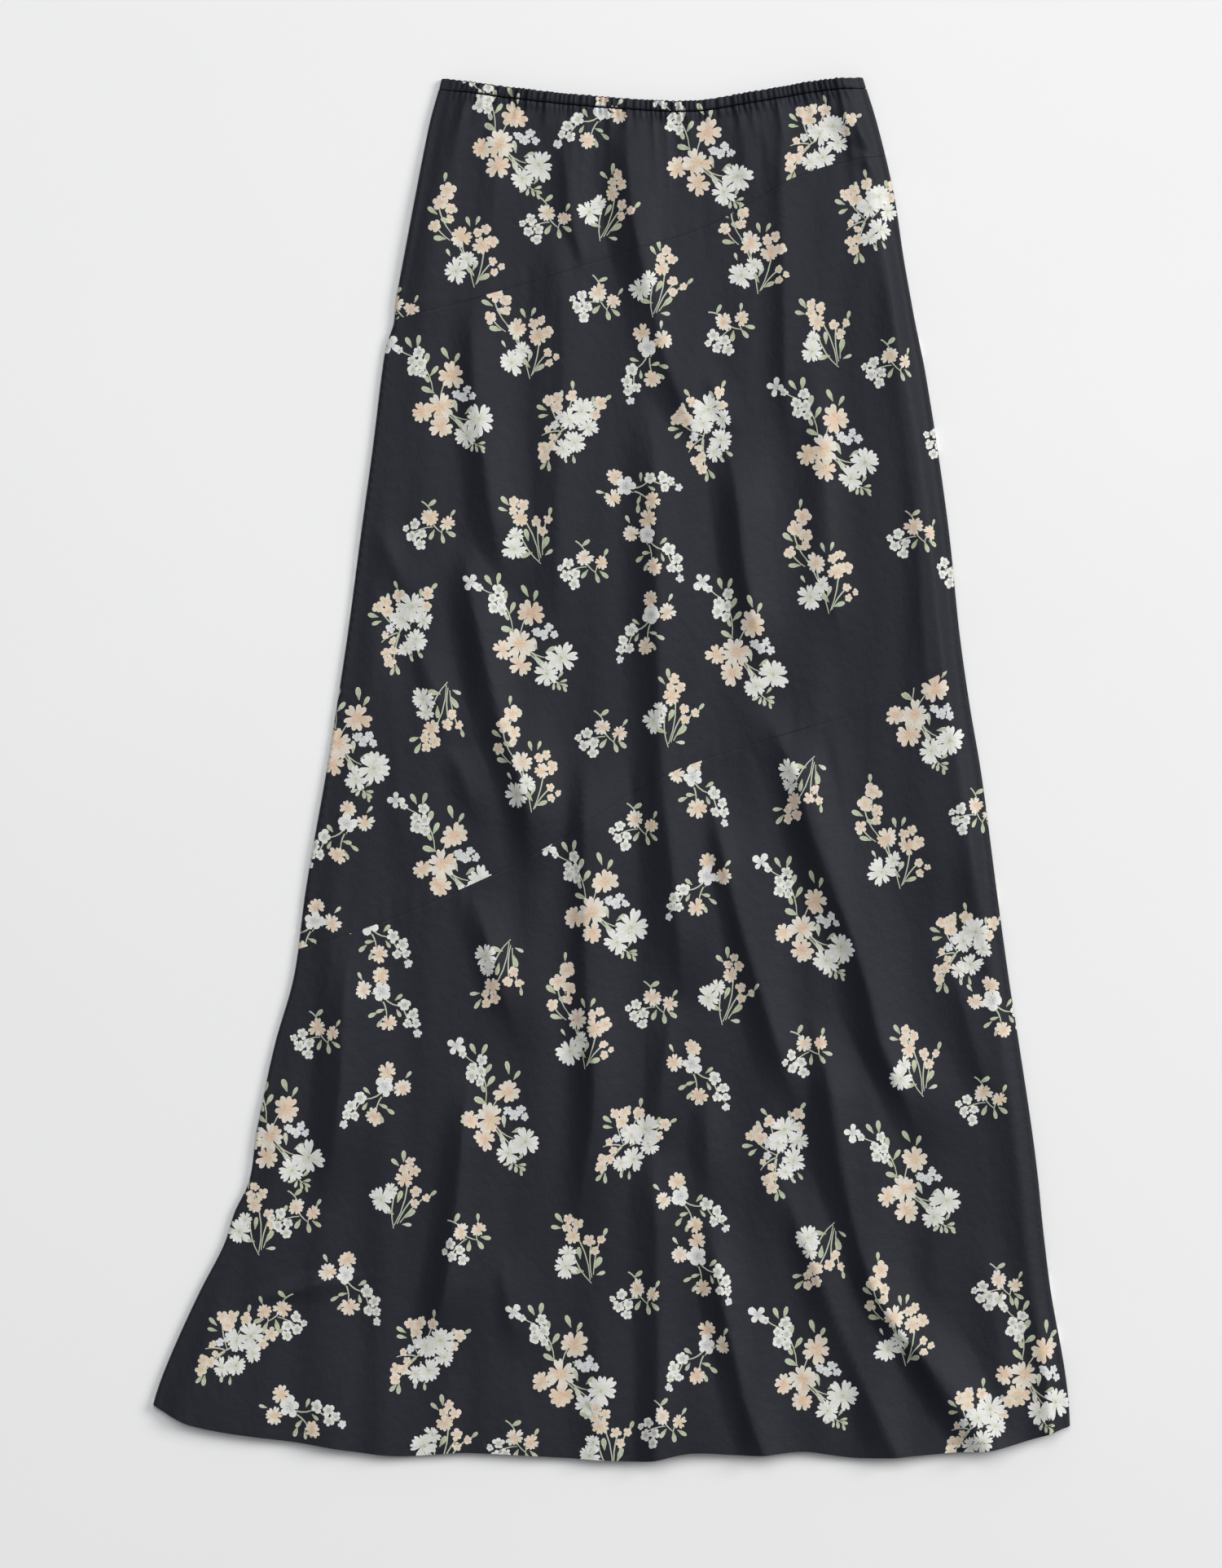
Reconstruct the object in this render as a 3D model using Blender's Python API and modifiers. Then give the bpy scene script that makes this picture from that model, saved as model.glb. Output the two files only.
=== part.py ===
"""A floral maxi skirt lying flat, front up, on a level surface.

Seven sewn pieces, each one thin wall of cloth: an elastic waist casing, then a yoke, a middle
and a flared lower panel for the front, and the same three for the back.  Two seams slant up
from the left side to the right.  The back lies flat on the surface, the front lies on the
back in long soft folds, and the two meet at the side seams in a rounded edge.

+X is to the right as one looks down on the front, +Y is towards the waist and +Z is up.  The
origin is under the middle of the skirt, on the surface.  Lengths in the tables are in
millimetres, and "down" is the distance below the corners of the waist.
"""
import bisect
import math
from collections import namedtuple

import bpy

MM = 0.001

# Driving sizes, in millimetres.
HALF_LENGTH = 486.0         # half of the skirt's reach from its waist corners to its hem
WALL = 1.2                  # one layer of cloth
CASING_WALL = 2.0           # cloth folded over the elastic
CASING_DEPTH = 8.0          # waist edge to the casing's stitching
HEM_WALL = 1.8              # cloth turned under and stitched
HEM_DEPTH = 6.0
HEM_STEP = 1.0              # the wall thickens over this distance above the hem
LAYER_GAP = 0.5             # between front and back where they lie together
SEAM_GAP = 0.36             # along Y, which leaves 0.3 across a slanting seam
SIDE_RISE = 3.4             # how much the front stands up beside a side seam
SIDE_REACH = 38.0           # and how far in from the seam that dies away
FOLD_FADE = 14.0            # folds run out over this distance from a side seam
WAIST_RISE = 1.4            # the gathered top stands off the back by this much more
WAIST_REACH = 70.0
GATHERS = 18                # puckers across the front of the waist
GATHER_RISE = 2.4
GATHER_REACH = 62.0
HEM_RISE = 3.4              # the front's hem is lifted by this much on average
HEM_WAVE = 1.8              # and by this much more or less along it
HEM_REACH = 95.0
LIP = 0.5                   # each edge runs straight up to its side seam for this far

# How finely the cloth is divided.
ROLL_STEPS = 3
YOKE_COLUMNS = 68
FRONT_COLUMNS = 50
BACK_COLUMNS = 16
YOKE_ROWS = 7
MIDDLE_ROWS = 9
LOWER_ROWS = 10
BACK_ROWS = 4
CASING_ROWS = 2

# Both side seams, from the waist to below the hem.
Side = namedtuple("Side", "down left right")
SIDES = (
    Side(-10, -118.0, 174.0),
    Side(0, -119.0, 177.0),
    Side(32, -127.5, 187.0),
    Side(80, -137.0, 198.5),
    Side(175, -152.5, 214.5),
    Side(260, -167.5, 229.5),
    Side(390, -185.0, 245.0),
    Side(490, -200.5, 260.5),
    Side(570, -214.5, 271.0),
    Side(640, -225.0, 280.5),
    Side(740, -249.0, 296.0),
    Side(790, -262.0, 302.0),
    Side(855, -290.0, 309.5),
    Side(905, -312.5, 318.5),
    Side(935, -322.5, 322.0),
    Side(980, -330.0, 323.5),
)

# Lines across the skirt: "across" is 0 at the left side seam and 1 at the right one.
Line = namedtuple("Line", "across down")
WAIST_EDGE = (
    Line(0.00, 0.5), Line(0.17, 7.5), Line(0.36, 13.5), Line(0.58, 17.0), Line(0.74, 10.0),
    Line(0.88, 3.0), Line(1.00, 0.0),
)
YOKE_SEAM = (
    Line(0.00, 171.0), Line(0.21, 149.5), Line(0.41, 127.0), Line(0.61, 104.0),
    Line(0.77, 74.5), Line(0.88, 61.5), Line(1.00, 54.5),
)
LOWER_SEAM = (
    Line(0.00, 613.0), Line(0.09, 598.5), Line(0.21, 574.0), Line(0.33, 545.0),
    Line(0.50, 494.0), Line(0.65, 468.5), Line(0.84, 442.5), Line(1.00, 410.0),
)
HEM_EDGE = (
    Line(0.00, 932.0), Line(0.05, 947.0), Line(0.17, 959.0), Line(0.27, 968.0),
    Line(0.35, 966.0), Line(0.50, 971.0), Line(0.54, 971.5), Line(0.59, 966.0),
    Line(0.65, 967.5), Line(0.71, 965.0), Line(0.77, 969.5), Line(0.86, 966.0),
    Line(0.92, 962.0), Line(1.00, 947.0),
)

# The front's largest folds.  Each is a ridge whose crest runs through top, middle and foot, each
# (x, down), with a steep flank on its left and a soft one on its right.
Fold = namedtuple("Fold", "name top middle foot height steep soft")
FRONT_FOLDS = (
    Fold("waist_left", (-34, 22), (-26, 100), (-9, 165), 3.5, 9, 20),
    Fold("waist_right", (119, 22), (118, 134), (136, 245), 5.0, 11, 28),
    Fold("belly", (8, 92), (28, 163), (62, 268), 6.0, 12, 34),
    Fold("hip_left", (-93, 158), (-90, 266), (-72, 384), 4.5, 10, 28),
    Fold("hip_centre", (-42, 134), (-38, 243), (-41, 370), 3.0, 11, 30),
    Fold("hip_right", (189, 120), (196, 266), (209, 395), 3.5, 11, 22),
    Fold("long_right", (75, 210), (125, 455), (202, 708), 9.0, 12, 36),
    Fold("thigh_left", (-106, 342), (-86, 427), (-66, 520), 7.5, 11, 30),
    Fold("centre", (20, 300), (29, 461), (47, 652), 7.5, 11, 34),
    Fold("left_of_centre", (-29, 425), (-17, 576), (-25, 796), 5.5, 10, 30),
    Fold("knee_left", (-103, 565), (-86, 612), (-63, 670), 4.5, 10, 26),
    Fold("knee_right", (70, 516), (95, 610), (129, 722), 7.0, 11, 26),
    Fold("side_left", (-185, 600), (-192, 690), (-207, 796), 5.5, 11, 34),
    Fold("calf_left", (-102, 702), (-109, 776), (-127, 890), 7.0, 11, 34),
    Fold("calf_centre", (35, 656), (29, 776), (29, 935), 6.0, 11, 30),
    Fold("hem_centre", (70, 736), (79, 857), (100, 985), 7.0, 11, 26),
    Fold("hem_right", (114, 755), (143, 840), (180, 965), 5.0, 11, 26),
    Fold("long_hem", (137, 676), (169, 822), (254, 962), 8.0, 12, 34),
)

MATERIAL_LOOKS = {
    "printed_cloth": ((0.027, 0.028, 0.035, 1.0), 0.62),
    "waist_cloth": ((0.022, 0.023, 0.028, 1.0), 0.66),
}


def through(rows):
    """A smooth function through (place, value) rows, straight on beyond both ends."""
    places = [row[0] for row in rows]
    values = [row[1] for row in rows]
    last = len(rows) - 1
    slopes = []
    for i in range(last + 1):
        low = max(i - 1, 0)
        high = min(i + 1, last)
        slopes.append((values[high] - values[low]) / (places[high] - places[low]))

    def value_at(place):
        if place <= places[0]:
            return values[0] + slopes[0] * (place - places[0])
        if place >= places[last]:
            return values[last] + slopes[last] * (place - places[last])
        i = min(bisect.bisect_right(places, place) - 1, last - 1)
        span = places[i + 1] - places[i]
        t = (place - places[i]) / span
        blend = t * t * (3.0 - 2.0 * t)
        leave = t * (1.0 - t) ** 2 * span * slopes[i]
        arrive = -t * t * (1.0 - t) * span * slopes[i + 1]
        return values[i] * (1.0 - blend) + values[i + 1] * blend + leave + arrive

    return value_at


def ease(amount):
    """0 to 1 with level ends, for an amount between 0 and 1."""
    t = min(max(amount, 0.0), 1.0)
    return t * t * (3.0 - 2.0 * t)


left_seam = through([(side.down, side.left) for side in SIDES])
right_seam = through([(side.down, side.right) for side in SIDES])
waist_edge = through(WAIST_EDGE)
yoke_seam = through(YOKE_SEAM)
lower_seam = through(LOWER_SEAM)
hem_edge = through(HEM_EDGE)


def shifted(line, distance):
    """The same line, moved down by a distance."""
    return lambda across: line(across) + distance


def fold_height(fold, crest, x, down):
    """How far one fold lifts the cloth at a place."""
    length = fold.foot[1] - fold.top[1]
    share = (down - fold.top[1]) / length
    if not 0.0 < share < 1.0:
        return 0.0
    taper = ease(share / 0.3) * ease((1.0 - share) / 0.3)
    aside = x - crest(down)
    reach = fold.soft if aside > 0.0 else fold.steep
    return fold.height * taper * ease(1.0 - abs(aside) / reach)


FOLD_CRESTS = [through([(p[1], p[0]) for p in (f.top, f.middle, f.foot)]) for f in FRONT_FOLDS]


def front_relief(x, down):
    """The folds together: the tallest in full, and a part of whatever else meets it."""
    heights = [fold_height(fold, crest, x, down) for fold, crest in zip(FRONT_FOLDS, FOLD_CRESTS)]
    tallest = max(heights)
    return tallest + 0.35 * (sum(heights) - tallest)


def gathers(across, down):
    """Puckers below the waist, uneven in width and depth, gone by the end of their reach."""
    fade = ease(1.0 - (down - waist_edge(across)) / GATHER_REACH)
    turn = across * GATHERS + 0.30 * math.sin(11.0 * across) + 0.16 * math.sin(29.0 * across + 1.0)
    depth = 0.72 + 0.28 * math.sin(17.0 * across + 0.6)
    return GATHER_RISE * depth * fade * (0.5 - 0.5 * math.cos(2.0 * math.pi * turn))


def lifts(across, down):
    """The slow rises of the front at the waist and along the hem."""
    waist = WAIST_RISE * ease(1.0 - (down - waist_edge(across)) / WAIST_REACH)
    wave = HEM_RISE + HEM_WAVE * math.sin(19.0 * across + 0.4) * math.cos(7.0 * across)
    return waist + wave * ease(1.0 - (hem_edge(across) - down) / HEM_REACH)


def front_floor(wall):
    """Height of the front's middle surface where it lies on the back."""
    return wall * 1.5 + LAYER_GAP


def front_height(across, x, down, wall):
    """Height of the front's middle surface."""
    inset = min(x - left_seam(down), right_seam(down) - x)
    side = SIDE_RISE * ease(1.0 - inset / SIDE_REACH)
    lifted = front_relief(x, down) + gathers(across, down) + lifts(across, down)
    start = wall / 2.0 + roll_radius(wall)
    return front_floor(wall) + side + lifted * ease((inset - start) / FOLD_FADE)


def roll_radius(wall):
    """Radius of the rounded edge at a side seam, at the middle of the wall."""
    return (front_floor(wall) + SIDE_RISE - wall / 2.0) / 2.0 - LIP


def side_roll(seam_x, inward, wall, front):
    """(x, height) of the rounded edge at a side seam, from the seam to where the panel starts."""
    radius = roll_radius(wall)
    seam_height = wall / 2.0 + radius + LIP
    profile = [(0.0, SEAM_GAP / 2.0)]
    for step in range(ROLL_STEPS):
        angle = math.pi / 2.0 * step / ROLL_STEPS
        profile.append((radius * (1.0 - math.cos(angle)), LIP + radius * math.sin(angle)))
    up = 1.0 if front else -1.0
    return [(seam_x + inward * (wall / 2.0 + x), seam_height + up * rise) for x, rise in profile]


def layer_row(down_at, columns, wall, front, thicker=0.0):
    """One row of points across a layer, from its left side seam to its right one."""
    left_down = down_at(0.0)
    right_down = down_at(1.0)
    row = []
    for x, height in side_roll(left_seam(left_down), 1.0, wall, front):
        row.append((x, left_down, height))
    edge = wall / 2.0 + roll_radius(wall)
    for column in range(columns + 1):
        across = column / columns
        down = down_at(across)
        start = left_seam(down) + edge
        x = start + across * (right_seam(down) - edge - start)
        height = front_height(across, x, down, wall) if front else wall / 2.0 + thicker / 2.0
        row.append((x, down, height))
    for x, height in reversed(side_roll(right_seam(right_down), -1.0, wall, front)):
        row.append((x, right_down, height))
    return row


def between(upper, lower, share):
    """The line that lies a share of the way from one line to another."""
    return lambda across: upper(across) + (lower(across) - upper(across)) * share


def to_space(point):
    """Metres in the skirt's frame, from (x, down, height) in millimetres."""
    x, down, height = point
    return (x * MM, (HALF_LENGTH - down) * MM, height * MM)


def cloth(name, rows, material, wall, closed=False, edge_rows=0, edge_wall=0.0):
    """A wall of cloth through rows of points: an open surface, then its thickness.

    A closed piece joins the end of each row to its start.  The last edge_rows rows take
    edge_wall instead, as a turned hem does.
    """
    width = len(rows[0])
    columns = width if closed else width - 1
    vertices = [to_space(point) for row in rows for point in row]
    faces = []
    for r in range(len(rows) - 1):
        for c in range(columns):
            d = (c + 1) % width
            faces.append((r * width + c, (r + 1) * width + c, (r + 1) * width + d, r * width + d))
    mesh = bpy.data.meshes.new(name)
    mesh.from_pydata(vertices, [], faces)
    mesh.shade_smooth()
    mesh.materials.append(material)
    piece = bpy.data.objects.new(name, mesh)
    shell = piece.modifiers.new("cloth_wall", "SOLIDIFY")
    shell.offset = 0.0
    shell.thickness = max(wall, edge_wall) * MM
    if edge_rows:
        hem = piece.vertex_groups.new(name="turned_hem")
        hem.add(range(len(vertices) - edge_rows * width, len(vertices)), 1.0, "REPLACE")
        shell.vertex_group = hem.name
        shell.thickness_vertex_group = wall / edge_wall
    return piece


def panel(name, upper, lower, rows, columns, front, material):
    """A front or back panel between two seams, kept clear of its neighbours."""
    top = shifted(upper, SEAM_GAP / 2.0)
    foot = shifted(lower, -SEAM_GAP / 2.0)
    lines = [between(top, foot, step / rows) for step in range(rows + 1)]
    grid = [layer_row(line, columns, WALL, front) for line in lines]
    return cloth(name, outward(grid, front), material, WALL)


def hemmed_panel(name, upper, rows, columns, front, material):
    """A lower panel, from the lower seam to the hem, whose last rows are turned under."""
    top = shifted(upper, SEAM_GAP / 2.0)
    foot = shifted(hem_edge, -HEM_DEPTH - HEM_STEP)
    lines = [between(top, foot, step / rows) for step in range(rows + 1)]
    grid = [layer_row(line, columns, WALL, front) for line in lines]
    for line in (shifted(hem_edge, -HEM_DEPTH), hem_edge):
        grid.append(layer_row(line, columns, WALL, front, HEM_WALL - WALL))
    return cloth(name, outward(grid, front), material, WALL, edge_rows=2, edge_wall=HEM_WALL)


def outward(grid, front):
    """Rows that make faces look up on the front, and down at the surface on the back."""
    return grid if front else [list(reversed(row)) for row in grid]


def waist_casing(material):
    """The gathered loop at the waist: across the front, then back along the back."""
    foot = shifted(waist_edge, CASING_DEPTH)
    grid = []
    for step in range(CASING_ROWS + 1):
        line = between(waist_edge, foot, step / CASING_ROWS)
        front = layer_row(line, YOKE_COLUMNS, CASING_WALL, True)
        back = layer_row(line, BACK_COLUMNS, CASING_WALL, False)
        grid.append(front + list(reversed(back)))
    return cloth("waist_casing", grid, material, CASING_WALL, closed=True)


def make_material(name):
    """A plain cloth finish."""
    colour, roughness = MATERIAL_LOOKS[name]
    material = bpy.data.materials.new(name)
    material.use_nodes = True
    shader = material.node_tree.nodes["Principled BSDF"]
    shader.inputs["Base Color"].default_value = colour
    shader.inputs["Roughness"].default_value = roughness
    shader.inputs["Metallic"].default_value = 0.0
    return material


def clear_scene():
    """Remove whatever the scene already holds."""
    for old in list(bpy.data.objects):
        bpy.data.objects.remove(old, do_unlink=True)


def build():
    """The casing and the six panels, in their own collection."""
    clear_scene()
    print_cloth = make_material("printed_cloth")
    waist_cloth = make_material("waist_cloth")
    casing_foot = shifted(waist_edge, CASING_DEPTH)
    pieces = [waist_casing(waist_cloth)]
    for layer, front in (("front", True), ("back", False)):
        yoke = (YOKE_ROWS, YOKE_COLUMNS) if front else (BACK_ROWS, BACK_COLUMNS)
        middle = (MIDDLE_ROWS, FRONT_COLUMNS) if front else (BACK_ROWS, BACK_COLUMNS)
        lower = (LOWER_ROWS, FRONT_COLUMNS) if front else (BACK_ROWS, BACK_COLUMNS)
        pieces.append(panel(layer + "_yoke", casing_foot, yoke_seam, *yoke, front, print_cloth))
        pieces.append(panel(layer + "_middle", yoke_seam, lower_seam, *middle, front, print_cloth))
        pieces.append(hemmed_panel(layer + "_lower", lower_seam, *lower, front, print_cloth))
    collection = bpy.data.collections.new("maxi_skirt")
    bpy.context.scene.collection.children.link(collection)
    for piece in pieces:
        collection.objects.link(piece)


build()
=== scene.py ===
"""The looks of the laid maxi skirt: printed satin-faced cloth in soft folds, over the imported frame.

Every panel is one thin shell.  Its outline, seams and folds are worked out here in the skirt's
own sizes, in millimetres: x is across, "down" is the distance below the waist's corners and
height is above the surface.  The print is cut into the cloth's own mesh: each petal and leaf is
an outline in the triangulation, and its faces carry their place in the flower to the shader.
"""
import math
from collections import namedtuple

import bpy
import numpy as np
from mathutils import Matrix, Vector
from mathutils.geometry import delaunay_2d_cdt


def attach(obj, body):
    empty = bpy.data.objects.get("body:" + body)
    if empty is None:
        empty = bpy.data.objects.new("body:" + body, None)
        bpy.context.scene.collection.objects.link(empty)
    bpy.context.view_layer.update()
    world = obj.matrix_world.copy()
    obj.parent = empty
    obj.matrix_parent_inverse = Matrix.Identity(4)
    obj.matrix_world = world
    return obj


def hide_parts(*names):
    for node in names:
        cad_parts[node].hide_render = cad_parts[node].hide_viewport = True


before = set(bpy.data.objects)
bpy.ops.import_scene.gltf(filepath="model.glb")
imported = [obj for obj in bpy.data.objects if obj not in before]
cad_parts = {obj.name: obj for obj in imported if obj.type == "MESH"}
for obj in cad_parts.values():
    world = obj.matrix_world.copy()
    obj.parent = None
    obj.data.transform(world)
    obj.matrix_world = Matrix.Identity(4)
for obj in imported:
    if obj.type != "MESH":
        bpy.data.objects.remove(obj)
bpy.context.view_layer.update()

MM = 0.001
HALF_LENGTH = 486.0

# ------------------------------------------------------------------ sizes, in millimetres
CLOTH = 0.7                 # one layer of the shown cloth
CASING_CLOTH = 2.1          # the folded casing with its elastic
HEM_CLOTH = 1.4             # cloth turned under
CASING_DEPTH = 8.0
HEM_DEPTH = 6.0
SEAM_INSET = 0.14           # a panel's face stops this far short of its seam line
CASING_INSET = 1.1          # and the casing's this far
SEAM_CLEARANCE = 0.04       # a rounded rim stops this far short

LAYING = 3.0                # height of the front's outer face where it lies on the back
SIDE_WAVE = 0.35            # how much the side edges' thickness waves
LEFT_WAVE = 37.0            # how long the waves are, over two pi
LEFT_SMALL_WAVE = 17.0
LEFT_SMALL_SHARE = 0.6
RIGHT_WAVE = 29.0
SIDE_REACH = 32.0           # how far in from a side seam the front comes down
LEFT_FADE = 24.0            # folds run out over this distance from each side seam
RIGHT_FADE = 13.0
FOLD_TAPER = 70.0           # and over this distance at their ends
FOLD_SWELL = 0.12           # share by which a fold grows and shrinks along its way
FOLD_SWELL_LENGTH = 31.0
FOLD_ENDS = 0.45            # the most of a fold's length that each of its ends takes up
WAIST_RISE = 1.9            # the front is lifted by this much at the waist
WAIST_REACH = 75.0
HEM_RISE = 2.6              # the front's hem is lifted by this much on average
HEM_WAVE = 1.3              # more or less
HEM_WAVE_RATES = (17.0, 6.0)    # of its quick and its slow waves from side to side
HEM_REACH = 100.0
SLOW_SWELL = 5.0            # uneven swell of the whole front
SMALL_SWELL = 1.1
CREST_ROUND = 2.3           # how far a fold's crest is rounded, and how hollow its flanks are
FLANK_BEND = 1.8
MOST_LIFT = 13.5            # above this the cloth rises less and less, by at most the spare
SPARE_LIFT = 4.5

GATHERS = 38                # small pleats below each half of the casing
LONG_GATHERS = 0.36         # share of them that hang far down
GATHER_STRAY = 0.46         # how far each strays from its even place, as a share of the spacing
LONG_GATHER = (60.0, 125.0)     # least and greatest length
SHORT_GATHER = (14.0, 50.0)
GATHER_LIFT = (0.5, 2.3)        # least and greatest height
GATHER_WIDTH = (3.0, 7.0)
GATHER_LEAN = 0.05              # the most it leans to either side
GATHER_SPREAD = 60.0        # this far below the casing a pleat is twice as wide
GATHER_ROUND = 0.9
BACK_GATHER = 0.25          # how much of their height they have on the back
PUCKERS = 74                # ridges of the elastic across each half
PUCKER_LIFT = 2.1
BACK_PUCKER_LIFT = 0.5
PUCKER_FADE = 9.0           # they run out over this distance below the casing
PUCKER_ROUND = 0.02         # how blunt the creases between the ridges are
PUCKER_DEPTH = 0.78         # their mean depth, as a share of the greatest
SCALLOP = 0.55              # how far each ridge stands out of the top edge
CASING_BULGE = 0.7
CASING_PINCH = 0.55
CASING_PINCH_SPREAD = 1.5
CASING_STITCH_INSET = 1.5

HEM_BULGE = 0.35            # the turned hem stands out by this much
HEM_GROOVE = 0.25           # and its stitches are pressed in by this much
HEM_GROOVE_SPREAD = 0.7
HEM_EDGE_BLEND = 0.4        # half the width over which the hem's thickness begins
SEAM_DIP = 0.1
SEAM_SPREAD = 2.2
BACK_SEAM_DIP = 0.06
SEAM_PUCKER = 1.3           # small puckers where the stitches draw the cloth in
LEAST_SEAM_PUCKER = 0.25    # the weakest of them, as a share of the strongest
SEAM_REACH = 17.0
SEAM_STEP = 0.35            # the allowances raise the cloth just below a seam
SEAM_STEP_WIDTH = 1.3
SEAM_STEP_REACH = 5.0
BACK_SWELL = 0.9
BACK_DROP = 0.45            # what lies lower than this rests flat on the surface
RIPPLE_ACROSS = (0.6, 1.4)  # how fast the swell's waves run across and down, least and most
RIPPLE_DOWN = (-0.6, 1.2)

THREAD_RADIUS = 0.17
THREAD_SIDES = 6
THREAD_PITCH = 0.45         # of the cloth's own weave
STITCH_SHAPE = ((-1.0, 0.35), (-0.72, 1.0), (0.72, 1.0), (1.0, 0.35))   # place and thickness

# How finely the cloth is divided.
EDGE_COLUMNS = (0.0, 0.5, 1.2, 2.0, 3.0, 4.1, 5.4, 7.0, 9.0)
EDGE_ROWS = (0.0, 0.4, 1.0, 1.8, 2.8, 4.2)
CASING_EDGE_ROWS = (0.0, 0.5)
YOKE_COLUMNS = 250
YOKE_ROWS = 30
MIDDLE_COLUMNS = 170
MIDDLE_ROWS = 66
LOWER_COLUMNS = 210
LOWER_ROWS = 77
CASING_COLUMNS = 520
CASING_ROWS = 7
BACK_COARSER = 0.62         # the back's share of the front's columns and rows
RIM_STEPS = 4
STITCH_SAMPLES = 600
STITCH_ENDS = (0.012, 0.988)
HEM_STITCH = (2.1, 3.0)     # length and spacing
WAIST_STITCH = (1.7, 2.5)
THREAD_LIFT = 0.05          # how far a thread's middle lies off the cloth's face
HEM_THREAD_SINK = -0.05     # where the back rests on the surface its thread lies in the cloth
WAIST_THREAD_SINK = -0.1
CUT_CLOSENESS = (1e-4, 1e-3, 1e-5, 4e-3)   # tried in turn until the panel's border is whole
NORMAL_STEP = 0.05
MEASURE_STEP = 4.0          # distance between the rows that the cloth is measured along
MEASURED_DOWN = (-10.0, 985.0)      # where it is measured
MEASURED_ACROSS = (-350.0, 345.0)
HALVINGS = 24               # how often the search for a place halves its reach
LATTICE_ROUNDS = 4          # how often rows and columns are fitted to each other
AREA_COLUMNS = 61           # places at which a panel's flat size is measured
AREA_ROWS = 80

PRINT_SEED = 300
PRINT_LENGTH = 970.0
BACK_PRINT_SHIFT = 415.0    # the back's print begins this far down the front's
CASING_PRINT_REACH = 60.0   # sprigs this near the waist may reach the casing
STREAK_KINDS = 97           # petals differ in their streaks by steps through the noise
STREAK_STEP = 0.37

# ------------------------------------------------------------------ surface, light and view
CLOTH_ROUGHNESS = 0.6
CLOTH_SPECULAR = 0.24
CLOTH_SHEEN = 0.02
SHEEN_ROUGHNESS = 0.4
SHEEN_COLOUR = (0.8, 0.85, 1.0)
CRINKLE = 0.0007            # metres: how deep the finest creases look
CRINKLE_STRENGTH = 0.8
WEAVE_DEPTH = 0.00012       # metres
WEAVE_STRENGTH = 0.35
PLAIN_WEAVE_STRENGTH = 0.5
WRONG_SIDE_COLOUR = (0.017, 0.018, 0.023)
THREAD_DARK = (0.012, 0.013, 0.017)
THREAD_LIGHT = (0.04, 0.042, 0.05)
PLAIN_ROUGHNESS = 0.7
THREAD_ROUGHNESS = 0.8
THREAD_TWIST = 0.0001       # metres
FLOOR_COLOUR = (0.87, 0.868, 0.866)
FLOOR_SIZE = 14.0
FLOOR_HEIGHT = -0.0001
FLOOR_ROUGHNESS = 0.9
KEY_PLACE = (7.4, 3.0, 5.2)  # a low light from the right
KEY_POWER = 590.0
KEY_COLOUR = (1.0, 0.99, 0.98)
TOP_PLACE = (0.1, 2.3, 5.6)
TOP_POWER = 176.0
TOP_COLOUR = (0.98, 0.99, 1.0)
LIGHT_SIZE = 4.4
WORLD_STRENGTH = 0.25
WORLD_COLOUR = (0.96, 0.975, 1.0)
FRAME_LENGTH = 1.103        # metres of the surface seen from top to bottom
FRAME_MIDDLE = -0.0105
LENS = 70.0
SENSOR = 24.0


def table(kind, *rows):
    """A table of rows with named columns."""
    return tuple(kind(*row) for row in rows)


# The side seams, seen from above.
Side = namedtuple("Side", "down left right")
SIDES = table(
    Side, (-10, -118.0, 174.0), (0, -119.0, 177.0), (32, -127.5, 187.0), (80, -137.0, 198.5),
    (128, -146.0, 206.0), (158, -151.4, 211.3), (173, -152.8, 214.1), (188, -157.8, 217.2),
    (207, -161.0, 221.0), (260, -167.5, 229.5), (322, -176.0, 238.0), (390, -185.0, 245.0),
    (440, -192.5, 252.0), (490, -200.5, 260.5), (570, -214.5, 271.0), (632, -223.0, 279.5),
    (680, -236.5, 287.0), (740, -249.0, 296.0), (776, -254.5, 300.5), (797, -264.5, 302.5),
    (820, -272.0, 305.0), (855, -290.0, 309.5), (905, -312.5, 318.5), (935, -322.5, 322.0),
    (980, -330.0, 323.5)
)

# Seams and edges: 0 across is the left side seam and 1 the right one.
Line = namedtuple("Line", "across down")
WAIST_EDGE = table(
    Line, (0.00, 0.5), (0.17, 7.5), (0.36, 13.5), (0.58, 17.0), (0.74, 10.0), (0.88, 3.0),
    (1.00, 0.0)
)
YOKE_SEAM = table(
    Line, (0.00, 171.0), (0.21, 149.5), (0.41, 127.0), (0.61, 104.0), (0.77, 74.5), (0.88, 61.5),
    (1.00, 54.5)
)
LOWER_SEAM = table(
    Line, (0.00, 613.0), (0.09, 598.5), (0.21, 574.0), (0.33, 545.0), (0.50, 494.0),
    (0.65, 468.5), (0.84, 442.5), (1.00, 410.0)
)
HEM_EDGE = table(
    Line, (0.00, 932.0), (0.05, 947.0), (0.17, 959.0), (0.27, 968.0), (0.35, 966.0),
    (0.50, 971.0), (0.54, 971.5), (0.59, 966.0), (0.65, 967.5), (0.71, 965.0), (0.77, 969.5),
    (0.86, 966.0), (0.92, 962.0), (1.00, 947.0)
)

# How high the skirt stands at each side seam.
SideHeight = namedtuple("SideHeight", "down height")
LEFT_HEIGHTS = table(
    SideHeight, (0, 4.6), (70, 5.6), (150, 6.4), (200, 4.8), (400, 4.4), (700, 5.0), (980, 6.0)
)
RIGHT_HEIGHTS = table(
    SideHeight, (0, 6.0), (100, 4.6), (300, 4.2), (500, 5.0), (980, 6.4)
)

# Waves along the casing, which make its ridges uneven in spacing and in depth.
Wave = namedtuple("Wave", "size rate phase")
PUCKER_SPACING = table(Wave, (0.42, 23.0, 0.0), (0.25, 61.0, 1.0))
PUCKER_DEPTHS = table(Wave, (0.22, 37.0, 0.5))

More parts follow.
